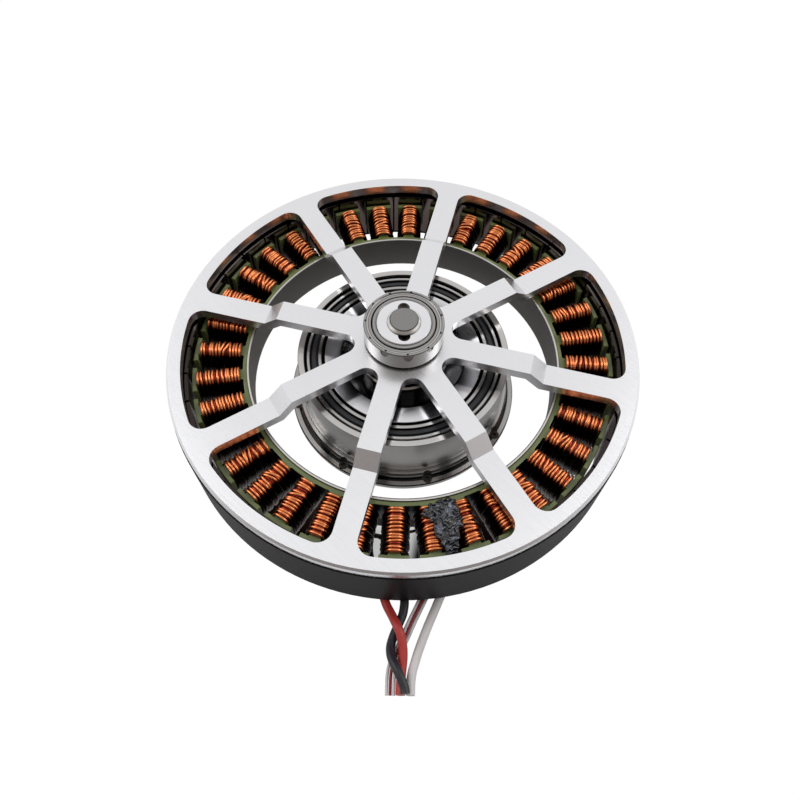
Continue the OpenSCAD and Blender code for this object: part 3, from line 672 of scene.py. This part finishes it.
# Black wires that cross the slots: both ends as radius and azimuth, and the height
JUMPERS = (
    ((84.5, -76.0), (83.4, -70.5), 18.0),
    ((86.0, -86.5), (87.0, -79.5), 18.5),
    ((87.2, -86.8), (86.2, -79.8), 17.0),
    ((84.8, -85.8), (88.2, -80.2), 16.0),
    ((88.6, -96.2), (87.4, -89.8), 18.0),
    ((89.9, -96.4), (88.3, -89.6), 16.8),
)
JUMPER_WIRE, JUMPER_SAG = 1.3, 1.2


def wire_loop(half_width, half_height, corner, wire, sides):
    """One closed turn of wire round a tooth, bellied at mid-height, in the plane across the tooth."""
    start_piece()
    bpy.ops.mesh.primitive_circle_add(vertices=6, radius=1, fill_type="NGON", rotation=(0, 0, math.radians(30)))
    loop = bpy.context.object
    settle(loop)
    wide = (max(v.co.x for v in loop.data.vertices), max(v.co.y for v in loop.data.vertices))
    if wide[0] < wide[1]:
        loop.data.transform(spin(math.pi / 2))
        wide = (wide[1], wide[0])
    loop.scale = ((half_width + BELLY - wire / 2) * MM / wide[0], (half_height - wire / 2) * MM / wide[1], 1)
    settle(loop)
    bpy.ops.object.mode_set(mode="EDIT")
    bpy.ops.mesh.select_all(action="SELECT")
    bpy.ops.mesh.bevel(offset=corner * MM, segments=5, affect="VERTICES")
    bpy.ops.mesh.delete(type="ONLY_FACE")
    bpy.ops.object.mode_set(mode="OBJECT")
    bpy.ops.object.convert(target="CURVE")
    loop.data.bevel_depth = wire / 2 * MM
    loop.data.bevel_resolution = sides
    bpy.ops.object.convert(target="MESH")
    loop.data.transform(spin(math.pi / 2) @ spin(math.pi / 2, "X"))
    return loop


def wound_coil(name, outer, inner, values, rng):
    """One coil about the X axis: an even inner layer and a looser outer layer with stray turns."""
    parts = []
    wire = values.wire / MM
    first, last = COIL_FROM + wire / 2, COIL_TO - wire / 2
    for index in range(values.inner_turns):
        x = first + (last - first) * index / (values.inner_turns - 1)
        parts.append(copy_of(inner, shift(x, 0, COIL_MIDDLE) @ spin(INNER_SLANT)))
    steps = [rng.choice((1.0, 1.0, 1.1, 1.4, 1.8)) for _ in range(values.turns - 1)]
    spots = [first]
    for step in steps:
        spots.append(spots[-1] + (last - first) * step / sum(steps))
    strays = {}
    if rng.random() < STRAY_CHANCE:
        knot = rng.randrange(3, values.turns - 5)
        lean = rng.choice((-1, 1)) * rng.uniform(0.45, 1.0) * values.slant
        strays = {knot: lean, knot + 1: lean * rng.uniform(0.55, 0.95), knot + 2: lean * rng.uniform(-0.3, 0.3)}
    for index, x in enumerate(spots):
        slant = rng.uniform(-0.03, 0.10)
        rise = rng.uniform(-0.3, 0.0)
        if index in strays:
            slant, rise = strays[index], 0.3
        if index in (0, len(spots) - 1):
            slant = 0.0
        stretch = Matrix.Diagonal((1, (1 + rng.uniform(-0.03, 0.01)) / math.cos(slant), 1, 1))
        tip = spin(rng.uniform(-0.03, 0.03), "Y")
        parts.append(copy_of(outer, shift(x, 0, COIL_MIDDLE + rise) @ spin(slant) @ tip @ stretch))
    return join(parts, name)


def enamelled_copper(name, color, gloss):
    """Copper wire under clear enamel. Its sides get painted shade: the colour turns dark towards half height,
    deep between the coils, and stays bright at the top and bottom.
    """
    material, tree, shader = new_material(name)
    grain = effect(tree, "Grain", {"Fine scale": 900.0, "Coarse scale": 260.0})
    tone = blend(tree, grain["Mask"], toned(color, 0.72, 0.5, 0.42), toned(color, 1.12, 1.2, 1.2))
    above = math_node(tree, "SUBTRACT", split(tree, object_place(tree))["Z"], COIL_MIDDLE * MM)
    top = COIL_HALF_HEIGHT * MM
    # Painted shade: near black at half height, full colour at the top and bottom of the coil.
    lit = map_range(tree, math_node(tree, "ABSOLUTE", above), 0.62 * top, 0.98 * top, smooth=True)
    tree.links.new(blend(tree, lit, toned(color, 0.05, 0.03, 0.05), tone), shader.inputs["Base Color"])
    tree.links.new(map_range(tree, grain["Height"], 0, 1, 0.2, 0.36), shader.inputs["Roughness"])
    constants(shader, Metallic=1.0, Coat_Weight=gloss, Coat_Roughness=0.12)
    return material


def jumper_points(start, end, height):
    """Points of a sagging wire between two places, each a radius and an azimuth."""
    points = []
    steps = 6
    for step in range(steps + 1):
        part = step / steps
        radius = (start[0] + (end[0] - start[0]) * part) * MM
        turn = math.radians(start[1] + (end[1] - start[1]) * part)
        sag = JUMPER_SAG * MM * math.sin(math.pi * part)
        points.append(Vector((radius * math.cos(turn), radius * math.sin(turn), height * MM - sag)))
    return points


class MOTOR_OT_windings(bpy.types.Operator):
    """Winds a coil of two layers on each of the stator's teeth"""

    bl_idname = "motor.windings"
    bl_label = "Wind the coils"

    def execute(self, context):
        values = settings("motor_windings")
        rng = random.Random(36)
        wire = values.wire / MM
        inset = LAYER_STEP * wire
        outer = wire_loop(COIL_HALF_WIDTH, COIL_HALF_HEIGHT, corner=2.3, wire=wire, sides=2)
        inner = wire_loop(COIL_HALF_WIDTH - inset, COIL_HALF_HEIGHT - inset, corner=1.9, wire=wire, sides=1)
        outer.data.materials.append(enamelled_copper("enamelled_copper", values.copper, gloss=0.6))
        # The inner layer takes the darker copper: painted shade between the outer turns.
        inner.data.materials.append(enamelled_copper("inner_layer_painted_shade_copper", values.inner_copper_painted_shade, gloss=0.2))
        for phase, letter in enumerate(PHASES):
            coils = []
            for index in range(COILS_PER_PHASE):
                coil = wound_coil("coil", outer, inner, values, rng)
                tooth = phase + len(PHASES) * index
                coil.data.transform(spin(math.radians(FIRST_TOOTH + TOOTH_STEP * tooth)))
                coils.append(coil)
            winding = join(coils, "phase_%s_winding" % letter)
            finish_mesh(winding, 60)
            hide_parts("phase_%s_coils" % letter)
        for pattern in (outer, inner):
            bpy.data.objects.remove(pattern)
        insulation = silicone("jumper_insulation", (0.008, 0.007, 0.010))
        for index, ends in enumerate(JUMPERS):
            name = "jumper_%d" % index
            round_strand(name, jumper_points(*ends), JUMPER_WIRE * MM, insulation)
        return {"FINISHED"}


# Lumps of the resin over the slot: radius, sideways place and size
RESIN_LUMPS = (
    (79.0, -2.2, 2.3), (79.6, 1.6, 2.3), (81.6, -4.4, 2.2), (81.8, 0.2, 2.5), (82.6, 3.2, 2.1),
    (84.4, -3.4, 2.4), (85.0, 1.2, 2.5), (86.6, 3.4, 2.0), (87.2, -4.4, 2.3), (87.8, -0.6, 2.6),
    (89.4, 2.6, 2.3), (90.0, -5.6, 2.1), (90.6, -2.4, 2.5), (92.2, 1.2, 2.5), (92.8, -6.2, 1.9),
    (93.4, -3.2, 2.4), (94.8, 1.6, 2.0), (95.4, -1.4, 2.4), (96.2, -4.6, 2.0), (80.2, -6.2, 1.7),
    (81.2, -8.2, 1.5), (82.8, -9.8, 1.4), (84.0, -7.4, 1.6), (85.8, -6.4, 1.6), (91.0, 4.4, 1.3),
    (83.9, 4.2, 1.4), (87.9, 4.6, 1.3), (79.4, 3.9, 1.3),
)
# How far the tops of the lumps stand over the node
LUMP_RISE = 0.3
LUMP_SHAPE = (1.25, 0.9, 0.72)
# Blocks that fill the slot under the lumps: middle and size
RESIN_FILLERS = (
    ((87.4, -1.2, 32.8), (15, 8.2, 4.0)),
    ((90, 0, 26), (17, 3.2, 13)),
    ((96, -1.5, 27.6), (8, 6.0, 13)),
    ((99.6, -2.0, 29.5), (3.4, 5.4, 7.6)),
)
RESIN_AZIMUTH = -63


def potting_resin():
    """Black resin, with painted highlights in slate on the tops of its folds."""
    material, tree, shader = new_material("potting_resin")
    folded = noise(tree, object_place(tree), scale=330.0, detail=0.6, distortion=0.9)
    # Painted highlights: slate on the tops of the folds.
    painted_highlight_crests = map_range(tree, folded, 0.57, 0.72)
    color = blend(tree, painted_highlight_crests, (0.002, 0.0025, 0.005, 1), (0.075, 0.085, 0.115, 1))
    tree.links.new(color, shader.inputs["Base Color"])
    relief(tree, shader, folded, strength=0.9, distance=2.4 * MM)
    constants(shader, Roughness=0.24, Specular_IOR_Level=0.7)
    return material


class MOTOR_OT_potting(bpy.types.Operator):
    """Moulds the crumpled lump of dark resin over the position sensor"""

    bl_idname = "motor.potting"
    bl_label = "Pot the sensor"

    def execute(self, context):
        rng = random.Random(5)
        parts = []
        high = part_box("sensor_potting")[1]
        for x, y, size in RESIN_LUMPS:
            start_piece()
            bpy.ops.mesh.primitive_ico_sphere_add(subdivisions=3, radius=size * MM)
            lump = bpy.context.object
            top = high.z / MM + LUMP_RISE - size * LUMP_SHAPE[2] * rng.uniform(0.9, 1.15)
            turn = spin(rng.uniform(0, 3))
            lump.data.transform(shift(x, y, top) @ turn @ Matrix.Diagonal((*LUMP_SHAPE, 1)))
            parts.append(lump)
        for middle, size in RESIN_FILLERS:
            start_piece()
            bpy.ops.mesh.primitive_cube_add(size=1)
            filler = bpy.context.object
            filler.data.transform(shift(*middle) @ Matrix.Diagonal([value * MM for value in size] + [1]))
            parts.append(filler)
        blob = join(parts, "sensor_resin")
        folds = bpy.data.textures.new("Resin folds", "VORONOI")
        folds.noise_scale = 4.5 * MM
        folds.distance_metric = "DISTANCE"
        modify(blob, "Melt", "REMESH", mode="VOXEL", voxel_size=0.22 * MM)
        modify(blob, "Flow", "SMOOTH", iterations=14, factor=0.6)
        modify(
            blob, "Crumple", "DISPLACE",
            texture=folds, texture_coords="LOCAL", strength=-1.4 * MM, mid_level=0.35,
        )
        modify(blob, "Settle", "SMOOTH", iterations=9, factor=0.5)
        apply_modifiers(blob)
        blob.data.transform(spin(math.radians(RESIN_AZIMUTH)))
        blob.data.materials.append(potting_resin())
        finish_mesh(blob, 70)
        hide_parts("sensor_potting")
        return {"FINISHED"}


NODE_FINISHES = {
    "spider": ("rotor_spider",),
    "turned": ("base_ring", "output_carrier"),
    "housing": ("gear_housing",),
    "carrier_top": ("carrier_top",),
    "black_ring": ("flux_ring",),
    "magnet": ("magnets",),
    "hub_outer": ("hub_outer_race",),
    "hub_inner": ("hub_inner_race",),
    "upper_outer": ("upper_outer_race",),
    "upper_inner": ("upper_inner_race",),
    "bearing": (
        "hub_balls", "upper_balls", "lower_outer_race", "lower_inner_race", "lower_balls", "sun_inner_race",
        "sun_outer_race", "sun_balls", "planet_pins",
    ),
    "shield": ("hub_upper_shield", "hub_lower_shield"),
    "shaft": ("sun_shaft",),
    "gear": ("sun_gear", "ring_gear", "planet_gear_1", "planet_gear_2", "planet_gear_3"),
    "bronze": (
        "hub_cage", "upper_cage", "lower_cage", "sun_cage", "planet_bush_1", "planet_bush_2", "planet_bush_3",
    ),
    "screw": ("lock_screws", "flange_screws", "carrier_screws"),
    "laminations": ("stator_core",),
    "sleeve": ("stator_sleeve",),
    "insulation": ("lead_block",),
    "seal": ("upper_seal",),
}
STEEL = (0.62, 0.605, 0.59)
BRIGHT = (0.78, 0.78, 0.80)
PIT_PAINTED_SHADE = (0.006, 0.005, 0.005, 1)
# The crimp dots are painted near black: painted shade in their pits. Number of the dots, azimuth of the first,
# radius of their ring and radius of a dot
CRIMP_DOTS = (11, 93.2, 17.45, 0.55)
# Tones of the turned pieces from the inside out, with painted light in them: the thin dark rings paint the
# shade in grooves and gaps, the thin bright rings paint highlights on edges and chamfers. Each stop is a radius
# and a tone.
RING_TONES_AND_PAINTED_LIGHT = {
    "housing": (
        (47.5, 0.02), (47.85, 0.04), (48.1, 0.75), (50.5, 0.78), (50.8, 0.5), (53.0, 0.62), (53.25, 0.03),
        (54.15, 0.03), (54.4, 0.5), (56.3, 0.55), (56.8, 0.4),
    ),
    # The carrier's top darkens towards its bore: painted shade.
    "carrier_top": (
        (11.0, 0.05), (29.4, 0.1), (29.8, 0.14), (31.0, 0.26), (33.0, 0.52), (35.5, 0.85), (37.6, 1.0),
        (38.0, 0.9),
    ),
    "hub_outer": (
        (16.4, 0.2), (16.6, 1.0), (16.95, 0.95), (17.1, 0.25), (17.3, 0.25), (17.45, 0.66), (18.2, 0.66),
        (18.5, 0.3),
    ),
    "hub_inner": (
        (12.4, 0.2), (12.65, 0.45), (12.9, 0.62), (13.2, 0.4), (13.4, 0.62), (14.1, 0.66), (14.4, 0.35),
        (14.7, 0.02),
    ),
    "upper_outer": (
        (44.4, 0.01), (45.15, 0.02), (45.45, 0.75), (46.55, 0.8), (46.85, 0.06), (47.5, 0.01),
    ),
    "upper_inner": (
        (38.0, 0.35), (38.45, 0.02), (39.45, 0.01), (39.75, 0.75), (40.8, 0.8), (41.05, 0.05), (41.3, 0.01),
    ),
    "magnet": (
        (100.5, 0.06), (101.5, 0.1), (104.5, 0.12), (106.0, 0.1),
    ),
    "shield": (
        (14.9, 0.3), (15.2, 0.62), (16.0, 0.66), (16.15, 0.2), (16.3, 0.2), (16.45, 0.9), (16.9, 0.9),
    ),
    "shaft": (
        (0.0, 0.47), (6.1, 0.47), (6.3, 0.12), (6.55, 0.14), (6.7, 1.5), (7.5, 1.5), (7.75, 0.2),
        (20.6, 0.08), (21.0, 0.9), (21.7, 0.8),
    ),
    "sleeve": (
        (74.2, 0.12), (74.5, 0.2), (74.65, 0.95), (75.3, 1.0), (75.4, 0.4),
    ),
    "seal": (
        (41.4, 0.004), (42.2, 0.005), (42.6, 0.013), (43.8, 0.015), (44.2, 0.004), (44.6, 0.004),
    ),
}


class MOTOR_OT_finishes(bpy.types.Operator):
    """Gives every machined piece of the frame its own finish"""

    bl_idname = "motor.finishes"
    bl_label = "Finish the machined pieces"

    def execute(self, context):
        metal = settings("motor_metal")
        materials = {
            "spider": spider_aluminium(),
            "turned": turned_aluminium(),
            "laminations": lacquered_laminations(),
            "black_ring": finish_material(
                "black_oxide_ring", metal.black_ring, "Grain", {"Fine scale": 2600.0, "Coarse scale": 30.0},
                metallic=0.0, roughness=(0.38, 0.5), shade=0.2, Specular_IOR_Level=0.04,
            ),
            "bearing": finish_material(
                "polished_bearing_steel", (0.46, 0.45, 0.435), "Turning lines", {"Lines per metre": 6000.0},
                roughness=(0.10, 0.18), shade=0.05, bump=0.1,
            ),
            "gear": finish_material(
                "ground_gear_steel", (0.50, 0.49, 0.48), "Turning lines", {"Lines per metre": 4500.0},
                roughness=(0.2, 0.32), shade=0.08, bump=0.15,
            ),
            "bronze": finish_material(
                "cast_bronze", (0.55, 0.36, 0.15), "Grain", {"Fine scale": 2000.0, "Coarse scale": 100.0},
                roughness=(0.3, 0.42), shade=0.1,
            ),
            "screw": finish_material(
                "black_oxide_screw", (0.045, 0.038, 0.032), "Grain",
                {"Fine scale": 3000.0, "Coarse scale": 200.0},
                metallic=0.8, roughness=(0.32, 0.45), shade=0.2,
            ),
            "insulation": finish_material(
                "moulded_insulation", (0.02, 0.02, 0.022), "Grain",
                {"Fine scale": 1800.0, "Coarse scale": 90.0},
                metallic=0.0, roughness=(0.45, 0.6), shade=0.2, bump=0.2,
            ),
        }
        # The fourth column is the side tone: painted shade and light for the faces that don't look upwards.
        for key, name, tint, painted_side_tone, others in (
            ("housing", "turned_housing", (0.79, 0.765, 0.745), 0.50, {}),
            ("carrier_top", "polished_carrier", BRIGHT, 0.16, {"roughness": (0.10, 0.2)}),
            ("hub_outer", "hub_bearing_outer_steel", STEEL, 0.52,
             {"roughness": (0.05, 0.1), "dots": CRIMP_DOTS}),
            ("hub_inner", "hub_bearing_inner_steel", STEEL, 0.1, {}),
            ("upper_outer", "gearbox_outer_race_steel", STEEL, 0.05, {}),
            ("upper_inner", "gearbox_inner_race_steel", STEEL, 0.03, {}),
            ("magnet", "nickel_plating", (0.46, 0.37, 0.35), 0.55,
             {"roughness": (0.10, 0.2), "lines": 1200.0, "shade": 0.1}),
            ("shield", "pressed_shield", STEEL, 0.2, {"roughness": (0.2, 0.3)}),
            ("shaft", "ground_shaft", STEEL, 0.25, {"roughness": (0.2, 0.3)}),
            ("sleeve", "stator_sleeve_steel", (0.62, 0.59, 0.565), 0.30,
             {"roughness": (0.42, 0.55), "lines": 2500.0}),
            ("seal", "seal_rubber", (0.9, 1.0, 1.25), 0.004,
             {"roughness": (0.35, 0.5), "lines": 1800.0, "metallic": 0.0}),
        ):
            materials[key] = ringed_material(name, tint, RING_TONES_AND_PAINTED_LIGHT[key], painted_side_tone, **others)
        for key, names in NODE_FINISHES.items():
            for name in names:
                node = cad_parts[name]
                node.data.materials.clear()
                node.data.materials.append(materials[key])
        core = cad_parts["stator_core"]
        modify(core, "Closed seams", "WELD", merge_threshold=0.002 * MM)
        modify(
            core, "Lacquer lip", "BEVEL",
            width=0.35 * MM, segments=2, limit_method="ANGLE", angle_limit=math.radians(50),
        )
        return {"FINISHED"}


def show(tree, factor, first, second, output):
    """Mixes two shaders by a factor and shows the mix."""
    mix = tree.nodes.new("ShaderNodeMixShader")
    for socket, value in zip(mix.inputs, (factor, first, second)):
        tree.links.new(value, socket)
    tree.links.new(mix.outputs[0], tree.nodes[output].inputs["Surface"])


# Painted shade on the floor where it shows through the closed slots: the patch's middle, and the open slots'
# middle as the camera sees them
SLOTS_SEEN = (-0.004, 0.0165, 0)
OPEN_SLOTS = 0.003


def white_ground():
    """White to the camera, grey in mirrors, and with a dark brown patch of painted shade where it shows through
    the closed slots.
    """
    material, tree, shader = new_material("white_ground")
    constants(shader, Roughness=0.9, Specular_IOR_Level=0.0)
    glow = tree.nodes.new("ShaderNodeEmission")
    constants(glow, Color=(1, 1, 1, 1), Strength=1.03)
    spot = object_place(tree)
    place = split(tree, spot)

    def step(value, start, end, low, high):
        return map_range(tree, value, start, end, low, high, smooth=True)

    away = vector_node(tree, "DISTANCE", spot, SLOTS_SEEN)
    under_slots = product(tree, step(away, 0.078, 0.086, 0, 1), step(away, 0.108, 0.116, 1, 0))
    under_slots = product(tree, under_slots, step(place["Y"], -0.045, -0.015, 1, 0))
    aside = math_node(tree, "ABSOLUTE", math_node(tree, "SUBTRACT", place["X"], OPEN_SLOTS))
    # Painted shade: under the closed slots the glow is cut and the floor turns dark brown.
    lost = product(tree, under_slots, step(aside, 0.020, 0.026, 0.5, 0.97))
    floor_painted_shade = product(tree, under_slots, step(aside, 0.020, 0.026, 0, 1))
    color = blend(tree, floor_painted_shade, (0.72, 0.72, 0.73, 1), (0.07, 0.045, 0.04, 1))
    tree.links.new(color, shader.inputs["Base Color"])
    path = tree.nodes.new("ShaderNodeLightPath").outputs
    direct = product(tree, path["Is Camera Ray"], math_node(tree, "SUBTRACT", 0.97, lost))
    mirrored = math_node(tree, "MAXIMUM", path["Is Glossy Ray"], path["Is Transmission Ray"])
    mirrored = product(tree, mirrored, step(axis_distance(tree, spot), 0.105, 0.16, 0.22, 0.70))
    factor = math_node(tree, "MAXIMUM", direct, mirrored)
    show(tree, factor, shader.outputs[0], glow.outputs[0], "Material Output")
    return material


def soft_panel(name, place, aim, width, height, power):
    data = bpy.data.lights.new(name, "AREA")
    data.shape = "RECTANGLE"
    data.size, data.size_y = width, height
    data.energy = power
    lamp = bpy.data.objects.new(name, data)
    bpy.context.collection.objects.link(lamp)
    lamp.location = place
    lamp.rotation_euler = (Vector(aim) - Vector(place)).to_track_quat("-Z", "Y").to_euler()


def studio_world(turn):
    """White to the camera. The light on the object is soft, warmer and weaker from the photograph's side."""
    world = bpy.data.worlds.new("Studio")
    world.use_nodes = True
    tree = world.node_tree
    ambient = tree.nodes["Background"]
    around = tree.nodes.new("ShaderNodeTexCoord").outputs["Generated"]
    toward = vector_node(tree, "DOT_PRODUCT", around, turn @ Vector((0, -1, 0)))
    far_side = map_range(tree, toward, 0.2, 0.8, 1.0, 0.26, smooth=True)
    overhead = map_range(tree, split(tree, around)["Z"], -0.1, 0.6, 0.6, 1.0, smooth=True)
    sky = product(tree, product(tree, far_side, overhead), 0.82)
    tree.links.new(sky, ambient.inputs["Strength"])
    tree.links.new(blend(tree, far_side, (1.0, 0.84, 0.75, 1), (1, 1, 1, 1)), ambient.inputs["Color"])
    white = tree.nodes.new("ShaderNodeBackground")
    constants(white, Color=(1, 1, 1, 1), Strength=1.0)
    path = tree.nodes.new("ShaderNodeLightPath").outputs
    direct = math_node(tree, "MAXIMUM", path["Is Camera Ray"], path["Is Transmission Ray"])
    factor = math_node(tree, "MAXIMUM", direct, product(tree, path["Is Glossy Ray"], 0.04))
    show(tree, factor, ambient.outputs[0], white.outputs[0], "World Output")
    return world


class MOTOR_OT_stage(bpy.types.Operator):
    """Builds the white ground, the soft panels and the world"""

    bl_idname = "motor.stage"
    bl_label = "Set the stage"

    def execute(self, context):
        start_piece()
        bpy.ops.mesh.primitive_plane_add(size=6, location=(0, 0, 0))
        ground = bpy.context.object
        ground.name = "ground"
        ground.data.materials.append(white_ground())
        settle(ground)
        turn = Matrix.Rotation(math.radians(VIEW_HEADING), 3, "Z")
        for name, x in (("panel_left", -0.75), ("panel_right", 0.75)):
            place = turn @ Vector((x, 0.15, 0.72))
            soft_panel(name, place, aim=(0, 0, 0.03), width=0.5, height=0.7, power=3.4)
        context.scene.world = studio_world(turn)
        context.scene.view_settings.view_transform = "Standard"
        return {"FINISHED"}


STEPS = (
    MOTOR_OT_camera,
    MOTOR_OT_leads,
    MOTOR_OT_windings,
    MOTOR_OT_potting,
    MOTOR_OT_finishes,
    MOTOR_OT_stage,
)


class MOTOR_PT_panel(bpy.types.Panel):
    """Lists the steps that build the picture model"""

    bl_idname = "MOTOR_PT_panel"
    bl_label = "Gear motor"
    bl_space_type = "VIEW_3D"
    bl_region_type = "UI"
    bl_category = "Gear motor"

    def draw(self, context):
        for step in STEPS:
            self.layout.operator(step.bl_idname)
        for name in SETTINGS:
            values = getattr(context.scene, name)
            for key in values.bl_rna.properties.keys():
                if key not in {"rna_type", "name"}:
                    self.layout.prop(values, key)


SETTINGS = {
    "motor_windings": WindingSettings,
    "motor_leads": LeadSettings,
    "motor_metal": MetalSettings,
    "motor_camera": CameraSettings,
}


def register():
    for group in SETTINGS.values():
        bpy.utils.register_class(group)
    for cls in (*STEPS, MOTOR_PT_panel):
        bpy.utils.register_class(cls)
    for name, group in SETTINGS.items():
        setattr(bpy.types.Scene, name, PointerProperty(type=group))


def unregister():
    for name in SETTINGS:
        delattr(bpy.types.Scene, name)
    for cls in (MOTOR_PT_panel, *reversed(STEPS)):
        bpy.utils.unregister_class(cls)
    for group in SETTINGS.values():
        bpy.utils.unregister_class(group)


def main():
    register()
    bpy.ops.motor.camera()
    bpy.ops.motor.leads()
    bpy.ops.motor.windings()
    bpy.ops.motor.potting()
    bpy.ops.motor.finishes()
    bpy.ops.motor.stage()


if __name__ == "__main__":
    main()
